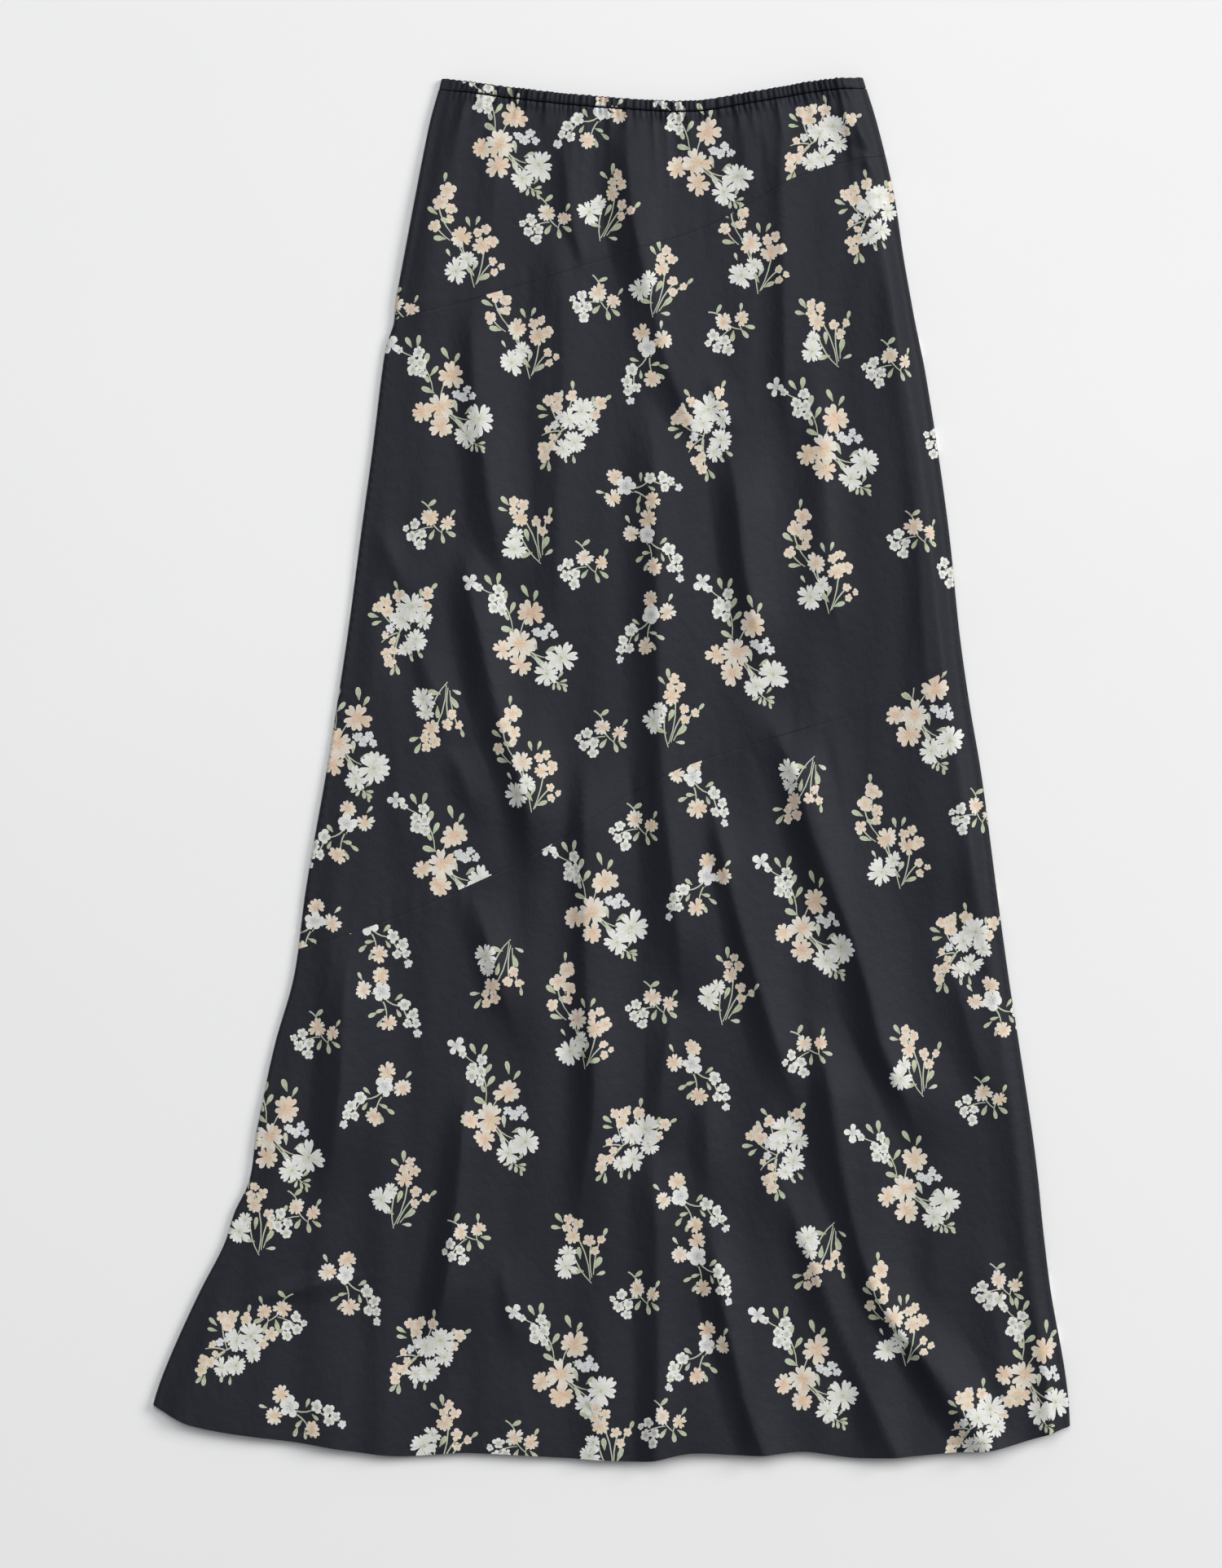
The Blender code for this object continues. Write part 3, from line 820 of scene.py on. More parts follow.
SPRIGS = {
    "spray": Sprig(
        stems=table(Stem,
            (-33, -37, -20, -29, 1.0), (-20, -29, -11, -15, -1.2), (-14, -25, -5, -4, -1.8),
            (7, -17, 0, 2, 1.4), (3, 8, 20, 16, 1.8), (2, 10, 16, 24, -1.4), (8, -3, 20, -2, 1.0),
            (6, 10, 22, 22, 1.0), (18, 26, 28, 34, 1.0)),
        bits=(
            *several("leaf",
                (-20, -35, 7.5, -125), (-16, -35, 8, -82), (-11, -22, 8.5, -78),
                (-7, -15, 8, -60), (-12, -17, 7, 60), (6, -27, 8.5, -118), (10, -24, 7, -70),
                (-4, -3, 9, -160)),
            *several("pale_leaf", (12, 10, 8, -110), (10, 14, 8, 55)),
            *several("leaf", (18, 12, 7, -35)),
            *several("pale_leaf", (24, 33, 5, 100)),
            *several("leaf", (26, 33, 5.5, 70), (28, 34, 5.5, 20), (28, 33, 5, -15)),
            *several("pale_leaf", (23, 33, 5.5, 150)),
            *several("leaf", (30, 35, 5, 60), (27, 30, 5, -60)),
            *several("propeller", (-35, -37, 14, 20)),
            *several("floret",
                (-29, -33, 6, 0), (-15, -32, 9, 10), (-20, -25.5, 8, 30), (-13.5, -24, 9, 50),
                (-19, -19, 9.5, 0), (-12.5, -17, 7.5, 40)),
            *several("lilac",
                (12, -2, 7.5, 0), (17, 0, 8, 30), (20, -5, 7, 60), (24, -0.5, 6.5, 10)),
            *several("peach", (8, -15, 20, 15), (-13, 10.5, 15, 40)),
            *several("cream", (0, 6, 21, 0)),
            *several("peach", (0.5, 21, 17, 60)),
            *several("daisy", (19, 27, 18, 30), (29, 16, 23, 0)),
        ),
    ),
    "bouquet": Sprig(
        stems=table(Stem,
            (-16, -14, -2, 3, 1.2), (17, -20, 2, 2, -1.2), (-1, -24, 0, 0, 0.8),
            (0, 0, -8, 15, 1.0), (-3, 5, -9, 30, 1.2), (1, 6, 5, 22, -1.0), (-4, 4, -16, 10, 1.0)),
        bits=(
            *several("leaf",
                (-17, -8, 7, -165), (-15, -5, 6.5, 160), (-2, -26, 6, -110), (21, -24, 6, -50),
                (-8, 27, 6.5, 110), (-7, 26, 7, 70)),
            *several("pale_leaf", (3, 20, 5, 60)),
            *several("leaf", (9, 18, 5.5, 60), (14, -19, 6, -95)),
            *several("pale_leaf", (-9, -17, 6.5, -95)),
            *several("blush",
                (-17, -15, 9, 0), (-11, -18, 9.5, 30), (-10, -11.5, 10, 50), (-1.5, -22, 9.5, 15),
                (19, -22, 10, 40), (17.5, -13, 8.5, 0)),
            *several("lilac", (-5, -6, 9.5, 20), (-9, 1, 7, 0)),
            *several("blush",
                (-13, 5, 6, 30), (-8, 9.5, 6, 0), (-13, 18, 9, 20), (-8, 16, 8, 60),
                (-11, 24, 9, 0)),
            *several("daisy",
                (1, 15.5, 13.5, 0), (15, -3.5, 14, 20), (8.5, 9.5, 17, 40), (0.5, -5.5, 16, 10),
                (7.5, -13.5, 21, 25)),
        ),
    ),
    "plume": Sprig(
        stems=table(Stem,
            (-18, -20, -9, -2, 1.5), (-12, -30, -12, -15, 1.0), (-9, -2, 7, 36, -2.0),
            (14, 4, 8, 34, -1.5), (20, 18, 9, 33, 1.2), (-2, 3, 5, 26, 1.0),
            (-21, -8, -10, 3, 1.0)),
        bits=(
            *several("leaf",
                (-19, -15, 8, -150), (-9, -9, 7.5, -160), (-13, 2, 8, -175), (4, -7, 6.5, -110),
                (8, -8, 6, -70), (10, 31, 8, -25), (7, 28, 8, -130)),
            *several("pale_leaf", (6, 24, 7, -70)),
            *several("leaf", (-14, -38, 6, -90)),
            *several("pale_leaf", (-10, 14, 5, -120)),
            *several("blush",
                (-12, -32, 13, 0), (-17.5, -23.5, 12, 30), (-9.5, -19, 9.5, 10),
                (-10, -12, 7.5, 40), (-21, -7, 9.5, 20), (15, -5, 8, 0), (9.5, -2.5, 8, 30),
                (20, 3.5, 10, 10)),
            *several("peach", (12.5, 6.5, 13, 20)),
            *several("blush", (20, 17.5, 6.5, 0), (26, 21, 5.5, 30), (21, 25, 6.5, 0)),
            *several("cream", (-2, 1, 16, 0)),
            *several("daisy", (2, 16, 13, 0), (-6, 24.5, 19, 20)),
        ),
    ),
    "pair": Sprig(
        stems=table(Stem,
            (-3, -14, 13, 22, -3.0), (12, -4, 14, 20, 1.2), (-1, 2, 14, 24, 2.0),
            (18, -7, 15, 18, 1.0)),
        bits=(
            *several("leaf",
                (-9, -17, 7.5, -130), (-10, -13, 6.5, -170), (5, 8, 8, -100), (8, 16, 8.5, 165),
                (15, 14, 9, -70)),
            *several("pale_leaf", (17, 18, 6, -30)),
            *several("leaf", (20, -9, 6, -80)),
            *several("blush",
                (-5.5, -20, 8, 0), (1, -17, 9, 20), (-6, -13.5, 7.5, 40), (10.5, -5.5, 8.5, 0),
                (15, 1, 7.5, 30), (19, -7, 6.5, 10)),
            *several("peach", (-1, -8, 12.5, 0)),
            *several("daisy", (-4, 4, 12, 0), (-5, 13.5, 18, 20)),
        ),
    ),
    "posy": Sprig(
        stems=table(Stem,
            (0, -5, 8, 5, 1.0), (-6, -17, 1, -9, -1.0), (-13, 6, 2, 1, -1.2), (12, -2, 8, 6, 1.0)),
        bits=(
            *several("leaf",
                (-2, -13, 7, -35), (3, 3, 7, 120), (8, 5, 7, 75), (11, 4, 7, 35),
                (14, -6, 5.5, -60)),
            *several("floret",
                (-11, -1, 8.5, 0), (-6, 6, 8, 30), (-13, 7.5, 8.5, 10), (-7, 13, 8.5, 40),
                (-17, 2, 5.5, 0)),
            *several("peach", (12, -1.5, 10.5, 0)),
            *several("cream", (0, -5.5, 13, 20)),
        ),
    ),
    "curl": Sprig(
        stems=table(Stem,
            (5, -3, -10, 1, -2.0), (-9, 0, -21, 16, -2.0), (5, 0, 1, 12, 1.0),
            (14, -5, 6, 0, 1.0)),
        bits=(
            *several("leaf",
                (-3, -2, 6, -130), (-5, 4, 5.5, 120), (3, 5, 6, 20), (8, 8, 6.5, 40),
                (4, 12, 6, 70)),
            *several("pale_leaf", (22, -13, 5.5, -50)),
            *several("floret",
                (-10, 0.5, 10, 0), (-17, 6, 9, 30), (-14, 13, 7.5, 10), (-20, 12, 7, 50)),
            *several("lilac", (-22, 19, 6.5, 0)),
            *several("cream", (20, -6, 13, 0)),
            *several("peach", (9, -17.5, 13, 20), (-1, 14, 13, 50)),
            *several("white", (7.5, -7, 15, 10)),
        ),
    ),
}

# Where the front's sprigs lie: the sprig's middle in millimetres, its turn in degrees, and
# whether it is mirrored.
Place = namedtuple("Place", "sprig x down turn mirrored", defaults=(0, False))


def placed(sprig, *rows):
    """Places of one kind of sprig."""
    return tuple(Place(sprig, *row) for row in rows)


PLACES = (
    *placed("spray",
        (-77, 42, 8), (60, 54), (-120, 225), (150, 255), (-64, 392), (89, 398, 12),
        (215, 442, 18), (-119, 547, 4), (-13, 580, 2), (135, 592, 6), (-238, 738, 10),
        (-84, 725, 14), (206, 775, -4), (-35, 905, 2), (135, 908, 4), (-190, 462, 16),
        (292, 905, 20)),
    *placed("bouquet",
        (144, 45, 20), (181, 98), (-31, 246, 14), (66, 249, -20), (-146, 386, -4), (246, 612, 12),
        (12, 748, 24), (118, 754, -14), (-266, 892, 30), (-132, 896, 24), (255, 945, 18)),
    *placed("plume",
        (-103, 112), (-64, 176), (146, 341), (-60, 480, 4), (196, 534), (-22, 660, 4), (200, 869),
        (100, 116, 6)),
    *placed("pair",
        (-3, 88, 40), (32, 142, 36), (146, 180), (-63, 318), (-126, 450, 175, True),
        (40, 443, 30), (129, 501, 180, True), (-83, 630, 178, True), (80, 638, 34),
        (-149, 781, 38), (209, 690, 8), (-26, 822, 4), (143, 828, 180, True), (-120, 952, 34),
        (-252, 800, 20), (-8, 955, 10)),
    *placed("posy",
        (-45, 101), (-10, 157, 10), (82, 177, -30), (195, 202), (-127, 315), (-19, 343),
        (212, 322), (-6, 462), (17, 527), (255, 517, 10), (-206, 673), (29, 652), (137, 684, -20),
        (261, 719), (-221, 799), (-103, 815, -25), (18, 856), (272, 850), (-152, 165),
        (238, 255, 20), (-232, 870, 10, True), (245, 342), (36, 945), (-68, 960)),
    *placed("curl",
        (-14, 31, 6), (23, 200, -30), (20, 288, -40, True), (31, 330, 10, True), (23, 386, -12),
        (-192, 532, -6), (63, 500, 14, True), (60, 569, -4), (-163, 602, 4, True),
        (-155, 650, 8, True), (-166, 716), (63, 701, 10, True), (-181, 850, 14, True),
        (57, 792, -6, True), (66, 836, 10, True), (60, 898, -6), (-216, 937, -24, True),
        (-216, 600), (275, 655, 0, True)),
)


def sprig_marks(name, draw):
    """Every stem, leaf, petal and heart of a sprig, in the order in which they are printed."""
    sprig = SPRIGS[name]
    marks = [stem_mark(*stem) for stem in sprig.stems]
    for bit in sprig.bits:
        if bit.kind in ("leaf", "pale_leaf"):
            angle = math.radians(bit.turn) + draw.uniform(-LEAF_TURN, LEAF_TURN)
            width = LEAF_WIDTH * draw.uniform(*LEAF_WIDTHS)
            marks.append(petal_mark((bit.x, bit.y), angle, bit.size * LEAF_GROWTH, width, PADDLE,
                                    varied(INKS[bit.kind], draw)))
        else:
            marks += flower_marks(*bit, draw)
    return marks


def placed_marks(place, seed):
    """A sprig's marks turned and mirrored as it lies, still measured from its own middle."""
    draw = np.random.default_rng(seed)
    turn = math.radians(place.turn)
    turning = np.array(((math.cos(turn), math.sin(turn)), (-math.sin(turn), math.cos(turn))))
    if place.mirrored:
        turning = np.array(((-1.0, 0.0), (0.0, 1.0))) @ turning
    marks = []
    for mark in sprig_marks(place.sprig, draw):
        outline = np.array(mark.outline) @ turning
        marks.append(Mark(outline, mark.start @ turning, mark.along @ turning,
                          mark.aside @ turning, mark.ink))
    return marks


def back_places():
    """The back is cut from the same cloth, so its sprigs are the front's in another order."""
    places = []
    for place in PLACES:
        down = (place.down + BACK_PRINT_SHIFT) % PRINT_LENGTH
        middle = 0.5 * (left_seam(down) + right_seam(down))
        old_middle = 0.5 * (left_seam(place.down) + right_seam(place.down))
        spread = right_seam(down) - left_seam(down)
        spread = spread / (right_seam(place.down) - left_seam(place.down))
        x = middle - (place.x - old_middle) * spread
        places.append(Place(place.sprig, float(x), down, -place.turn, not place.mirrored))
    return places


# ------------------------------------------------------------------ cutting the cloth's mesh
def strip_places(first, last, offsets, parts, share):
    """Places between two ends: close to each end by the offsets, evenly spread between."""
    reach = offsets[-1]
    shift = np.concatenate([np.array(offsets) - reach, np.zeros(parts - 1),
                            reach - np.array(offsets)[::-1]])
    shift = shift.reshape(share.shape)
    return first + reach + share * (last - first - 2.0 * reach) + shift


def strip_shares(offsets, parts):
    """How far each of those places is from one end to the other, apart from its shift."""
    inner = np.arange(1, parts) / parts
    return np.concatenate([np.zeros(len(offsets)), inner, np.ones(len(offsets))])


def lattice(upper, lower, columns, rows, inset, edge_rows):
    """Rows that follow the seams and columns that follow the sides: q and down at each."""
    column_share = strip_shares(EDGE_COLUMNS, columns)[None, :]
    row_share = strip_shares(edge_rows, rows)[:, None]
    across = column_share + 0.0 * row_share
    for _ in range(LATTICE_ROUNDS):
        down = strip_places(upper(across) + inset, lower(across) - inset, edge_rows, rows,
                            row_share)
        left, right = seam_places(down)
        q = strip_places(left + inset, right - inset, EDGE_COLUMNS, columns, column_share)
        across = (q - left) / (right - left)
    return q, down


def outline_of(grid):
    """The grid's border, in order: bottom, right, top, left."""
    return np.concatenate([grid[-1, :-1], grid[:0:-1, -1], grid[0, :0:-1], grid[:-1, 0]])


def signed_area(points):
    """Positive where the outline runs anticlockwise."""
    following = np.roll(points, -1, axis=0)
    return 0.5 * np.sum(points[:, 0] * following[:, 1] - following[:, 0] * points[:, 1])


def whole_border(triangles):
    """Where the triangles have one clean border: its corners in order.  Otherwise None."""
    edges = {}
    for triangle in triangles:
        for start, end in zip(triangle, triangle[1:] + triangle[:1]):
            if (start, end) in edges:
                return None
            edges[(start, end)] = True
    following = {start: end for start, end in edges if (end, start) not in edges}
    first = min(following)
    loop = [first]
    while following[loop[-1]] != first:
        loop.append(following[loop[-1]])
    return np.array(loop) if len(loop) == len(following) else None


def cut_flat(places, faces):
    """Triangles of the plane inside face 0, and the last face that each one lies in.

    Returns the corners, the triangles, the face of each, the border's corners in order, and
    which given places each corner came from.
    """
    points = [Vector(place) for place in places]
    for closeness in CUT_CLOSENESS:
        result = delaunay_2d_cdt(points, [], faces, 1, closeness)
        kept = [i for i, origins in enumerate(result[5]) if 0 in origins]
        loop = whole_border([list(result[2][i]) for i in kept])
        if loop is not None:
            break
    else:
        raise ValueError("a panel's border isn't one loop")
    corners = np.array([point[:] for point in result[0]])
    triangles = np.array([result[2][i] for i in kept])
    sources = np.array([max(result[5][i]) for i in kept])
    return corners, triangles, sources, loop, result[3]


# The front or the back: its outer face, which way that faces, its measure and its sprigs.
Layer = namedtuple("Layer", "face up measure places")


def marks_on(side, upper, lower, seed):
    """The marks of the sprigs whose middle is on a panel, each with its sprig's place."""
    chosen = []
    for number, place in enumerate(side.places):
        across = float(across_at(place.x, place.down))
        if float(upper(across)) <= place.down < float(lower(across)):
            chosen += [(place, mark) for mark in placed_marks(place, seed + number)]
    return chosen


def marks_in_cloth(side, chosen):
    """The marks' outlines as places of the plane that the cloth is cut in."""
    flat = np.concatenate([mark.outline for _, mark in chosen])
    middles = np.concatenate([np.tile((place.x, place.down), (len(mark.outline), 1))
                              for place, mark in chosen])
    down = middles[:, 1] + flat[:, 1]
    q = side.measure.place_of(side.measure.at(middles[:, 0], down) + flat[:, 0], down)
    ends = np.cumsum([len(mark.outline) for _, mark in chosen])[:-1]
    outlines = np.split(np.stack([q, -down], -1), ends)
    return [line[::-1] if signed_area(line) < 0.0 else line for line in outlines]


def corner_inks(side, chosen, corners, triangles, sources):
    """For each triangle corner: its three inks, and its place in its petal.

    The place is how far along and across the petal it is, and then the petal's own number for
    its streaks, which is 0 where nothing is printed.
    """
    count = len(triangles)
    inks = np.empty((count, 3, 3, 3))
    inks[:] = GROUND
    places = np.zeros((count, 3, 3))
    printed = sources > 0
    if chosen:
        colours = np.array([mark.ink for _, mark in chosen])
        frames = np.array([[mark.start, mark.along, mark.aside] for _, mark in chosen])
        middles = np.array([(place.x, place.down) for place, _ in chosen])
        which = sources[printed] - 1
        inks[printed] = colours[which][:, None]
        q = corners[triangles[printed], 0]
        down = -corners[triangles[printed], 1]
        middle_x = np.repeat(middles[which, 0][:, None], 3, axis=1)
        aside = side.measure.at(q, down) - side.measure.at(middle_x, down)
        flat = np.stack([aside, down - middles[which, 1][:, None]], -1)
        flat = flat - frames[which, 0][:, None]
        for axis in (1, 2):
            direction = frames[which, axis]
            length = np.sum(direction * direction, axis=-1)
            places[printed, :, axis - 1] = (np.einsum("ijk,ik->ij", flat, direction)
                                            / length[:, None])
        places[printed, :, 2] = (which % STREAK_KINDS)[:, None] * STREAK_STEP + 1.0
    return inks, places


def wall_at(across, down, cloth):
    """How thick the cloth is: more where the hem is turned under."""
    if cloth != CLOTH:
        return np.full(down.shape, cloth)
    return cloth + (HEM_CLOTH - CLOTH) * turned_hem(hem_edge(across) - down)


def q_across(q, down):
    """0 at the left side seam and 1 at the right one, along the cloth."""
    left, right = seam_places(down)
    return (q - left) / (right - left)


def numbered_faces(outlines, start):
    """Each outline as a face: the numbers of its places, which follow one another."""
    faces = []
    for outline in outlines:
        faces.append(list(range(start, start + len(outline))))
        start += len(outline)
    return faces


def rounded_rim(point, normal, loop, inner_loop, wall, inset):
    """The rounded rim between the outer and the inner border: points, normals and triangles."""
    tangent = np.roll(point[loop], -1, axis=0) - np.roll(point[loop], 1, axis=0)
    outward = np.cross(tangent, normal[loop])
    outward /= np.maximum(np.linalg.norm(outward, axis=1, keepdims=True), 1e-9)
    half_wall = wall[loop][:, None] / 2.0
    middle = point[loop] - normal[loop] * half_wall
    points = []
    normals = []
    levels = [loop]
    for step in range(1, RIM_STEPS):
        angle = math.pi * step / RIM_STEPS
        lift = math.cos(angle) * normal[loop]
        bulge = (inset - SEAM_CLEARANCE) * math.sin(angle) * outward
        points.append(middle + half_wall * lift + bulge)
        normals.append(lift + math.sin(angle) * outward)
        levels.append(len(point) + (step - 1) * len(loop) + np.arange(len(loop)))
    levels.append(inner_loop)
    triangles = []
    for upper, lower in zip(levels, levels[1:]):
        after_upper = np.roll(upper, -1)
        after_lower = np.roll(lower, -1)
        triangles.append(np.stack([upper, lower, after_lower], -1))
        triangles.append(np.stack([upper, after_lower, after_upper], -1))
    return points, normals, np.concatenate(triangles)


def cloth_shell(name, side, grid, chosen, cloth, inset):
    """A closed thin shell: printed outer face, rounded rims and plain inner face."""
    plane = np.stack([grid[0], -grid[1]], -1)
    border = outline_of(plane)
    inside = plane[1:-1, 1:-1].reshape(-1, 2)
    outlines = marks_in_cloth(side, chosen)
    faces = numbered_faces([border], 0)
    faces += numbered_faces(outlines, len(border) + len(inside))
    corners, cut, sources, loop, _ = cut_flat(np.concatenate([border, inside] + outlines), faces)
    used = np.unique(cut)
    renumber = np.full(len(corners), -1)
    renumber[used] = np.arange(len(used))
    corners = corners[used]
    cut = renumber[cut]
    loop = renumber[loop]

    # The inner face has the same border and half the rows.
    coarse = plane[1:-1:2, 1:-1].reshape(-1, 2)
    inner_corners, inner_cut, _, _, origins = cut_flat(
        np.concatenate([corners[loop], coarse]), numbered_faces([loop], 0))
    position = {}
    for number, sources_of in enumerate(origins):
        for source in sources_of:
            position[source] = number
    outer_count = len(corners)
    inner_loop = np.array([position[i] for i in range(len(loop))]) + outer_count
    if side.up < 0:
        cut = cut[:, ::-1]
        loop = loop[::-1]
        inner_loop = inner_loop[::-1]
    else:
        inner_cut = inner_cut[:, ::-1]

    q = np.concatenate([corners[:, 0], inner_corners[:, 0]])
    down = -np.concatenate([corners[:, 1], inner_corners[:, 1]])
    normal = facing(side.face, q, down, side.up)
    point = side.face(q, down)
    point[:, 1] = HALF_LENGTH - point[:, 1]
    wall = wall_at(q_across(q, down), down, cloth)
    point[outer_count:] -= (normal * wall[:, None])[outer_count:]
    rim_points, rim_normals, rim = rounded_rim(point, normal, loop, inner_loop, wall, inset)
    normal[outer_count:] *= -1.0
    rings = np.concatenate([np.arange(len(q))] + [loop] * (RIM_STEPS - 1))
    cloth_places = np.stack([q, down, 0.0 * q], -1)[rings]

    outer_inks, outer_places = corner_inks(side, chosen, corners, cut, sources)
    plain = len(rim) + len(inner_cut)
    plain_inks = np.empty((plain, 3, 3, 3))
    plain_inks[:] = GROUND
    wrong_side = np.zeros(len(cut) + plain, bool)
    wrong_side[len(cut) + len(rim):] = True
    return cloth_object(name, np.concatenate([point] + rim_points),
                        np.concatenate([normal] + rim_normals), cloth_places,
                        np.concatenate([cut, rim, inner_cut + outer_count]), wrong_side,
                        np.concatenate([outer_inks, plain_inks]),
                        np.concatenate([outer_places, np.zeros((plain, 3, 3))]))


def linked(name, mesh):
    """The mesh as an object of the scene."""
    piece = bpy.data.objects.new(name, mesh)
    bpy.context.scene.collection.objects.link(piece)
    return piece


def cloth_object(name, vertices, normals, cloth_places, triangles, wrong_side, inks,
                 petal_places):
    """The mesh object, with the inks and places that its shader reads."""
    a, b, c = triangles.T
    keep = (a != b) & (b != c) & (c != a)
    triangles = triangles[keep]
    mesh = bpy.data.meshes.new(name)
    mesh.from_pydata((vertices * MM).tolist(), [], triangles.tolist())
    inks = inks[keep].reshape(-1, 3, 3)
    petal_places = petal_places[keep].reshape(-1, 3)
    mesh.polygons.foreach_set("material_index", wrong_side[keep].astype(np.int32))
    for index, ink_name in enumerate(("ink_body", "ink_heart", "ink_rim")):
        attribute = mesh.attributes.new(ink_name, "FLOAT_COLOR", "CORNER")
        colours = np.ones((len(inks), 4), np.float32)
        colours[:, :3] = inks[:, index]
        attribute.data.foreach_set("color", colours.ravel())
    for place_name, domain, places in (("petal_at", "CORNER", petal_places),
                                       ("cloth_at", "POINT", cloth_places)):
        attribute = mesh.attributes.new(place_name, "FLOAT_VECTOR", domain)
        attribute.data.foreach_set("vector", places.astype(np.float32).ravel())
    low = cloth_places[:, :2].min(axis=0)
    span = cloth_places[:, :2].max(axis=0) - low
    flat = ((cloth_places[:, :2] - low) / span)[triangles].reshape(-1, 2)
    bake_map = mesh.uv_layers.new(name="OFBake")
    bake_map.data.foreach_set("uv", flat.astype(np.float32).ravel())
    mesh.polygons.foreach_set("use_smooth", np.ones(len(mesh.polygons), bool))
    mesh.update()
    mesh.normals_split_custom_set_from_vertices(normals.tolist())
    return linked(name, mesh)


def sewn_panel(name, side, upper, lower, columns, rows, seed):
    """One panel between two seams, with its print."""
    grid = lattice(upper, lower, columns, rows, SEAM_INSET, EDGE_ROWS)
    chosen = marks_on(side, upper, lower, seed)
    return cloth_shell(name, side, grid, chosen, CLOTH, SEAM_INSET)


def stitch_row(side, line, length, pitch, lift, vertices, faces):
    """A row of small round stitches along a line of the cloth."""
    across = np.linspace(*STITCH_ENDS, STITCH_SAMPLES)
    down = line(across)
    left, right = seam_places(down)
    q = left + across * (right - left)
    points = side.face(q, down)
    run = np.concatenate([[0.0], np.cumsum(np.linalg.norm(np.diff(points, axis=0), axis=1))])
    starts = np.arange(0.0, run[-1] - length, pitch)
    ends, girths = np.array(STITCH_SHAPE).T
    girths = girths * THREAD_RADIUS
    rings = len(STITCH_SHAPE)
    for start in starts:
        at = np.interp(start + length * (0.5 + 0.5 * ends), run, q)
        at_down = np.interp(start + length * (0.5 + 0.5 * ends), run, down)
        middle = side.face(at, at_down)
        middle[:, 1] = HALF_LENGTH - middle[:, 1]
        normal = facing(side.face, at, at_down, side.up)
        middle = middle + normal * lift
        ahead = middle[-1] - middle[0]
        ahead /= np.linalg.norm(ahead)
        base = len(vertices)
        for place, up, girth in zip(middle, normal, girths):
            aside = np.cross(up, ahead)
            aside /= np.linalg.norm(aside)
            for turn in range(THREAD_SIDES):
                angle = 2.0 * math.pi * turn / THREAD_SIDES
                vertices.append(place + girth * (math.cos(angle) * aside + math.sin(angle) * up))
        for ring in range(rings - 1):
            for turn in range(THREAD_SIDES):
                following = (turn + 1) % THREAD_SIDES
                first = base + ring * THREAD_SIDES
                faces.append((first + turn, first + THREAD_SIDES + turn,
                              first + THREAD_SIDES + following, first + following))
        faces.append(tuple(base + turn for turn in range(THREAD_SIDES)))
        last = base + (rings - 1) * THREAD_SIDES
        faces.append(tuple(last + turn for turn in reversed(range(THREAD_SIDES))))


def stitching(name, rows, material):
    """All the stitches of one seam, on the front and on the back."""
    vertices = []
    faces = []
    for side, line, length, pitch, lift in rows:
        stitch_row(side, line, length, pitch, lift, vertices, faces)
    mesh = bpy.data.meshes.new(name)
    mesh.from_pydata((np.array(vertices) * MM).tolist(), [], faces)
    mesh.polygons.foreach_set("use_smooth", np.ones(len(mesh.polygons), bool))
    mesh.update()
    mesh.materials.append(material)
    return linked(name, mesh)


# ------------------------------------------------------------------ materials
# A petal's width along its length: its rim's lighter ink follows it.
PETAL_PROFILE = ((0.0, 0.16), (0.3, 0.55), (0.58, 0.93), (0.78, 1.0), (0.93, 0.72), (1.0, 0.3))


class Nodes:
    """A short way to write a material's nodes."""

    def __init__(self, name):
        self.material = bpy.data.materials.new(name)
        self.material.use_nodes = True
        self.tree = self.material.node_tree
        self.shader = self.tree.nodes["Principled BSDF"]

    def add(self, kind, inputs=None, **settings):
        node = self.tree.nodes.new(kind)
        for key, value in settings.items():
            setattr(node, key, value)
        for key, value in (inputs or {}).items():
            self.give(node.inputs[key], value)
        return node

    def give(self, socket, value):
        if isinstance(value, bpy.types.NodeSocket):
            self.tree.links.new(value, socket)
        else:
            socket.default_value = value

    def attribute(self, name):
        return self.add("ShaderNodeAttribute", attribute_name=name)

    def maths(self, operation, first, second, third=None):
        inputs = {0: first, 1: second}
        if third is not None:
            inputs[2] = third
        return self.add("ShaderNodeMath", inputs, operation=operation).outputs[0]

    def span(self, value, low, high, new_low=0.0, new_high=1.0, smooth=True):
        node = self.add("ShaderNodeMapRange",
                        {"Value": value, "From Min": low, "From Max": high,
                         "To Min": new_low, "To Max": new_high})
        node.interpolation_type = "SMOOTHSTEP" if smooth else "LINEAR"
        return node.outputs["Result"]

    def mix(self, share, first, second, blend="MIX"):
        node = self.add("ShaderNodeMix", data_type="RGBA", blend_type=blend)
        self.give(node.inputs[0], share)
        self.give(node.inputs[6], first)
        self.give(node.inputs[7], second)
        return node.outputs[2]

    def noise(self, vector, scale, detail=2.0, roughness=0.5):
        node = self.add("ShaderNodeTexNoise", {"Vector": vector, "Scale": scale,
                                               "Detail": detail, "Roughness": roughness})
        return node.outputs["Fac"]

    def stretched(self, vector, across, down, depth=1.0):
        return self.add("ShaderNodeVectorMath", {0: vector, 1: (across, down, depth)},
                        operation="MULTIPLY").outputs[0]


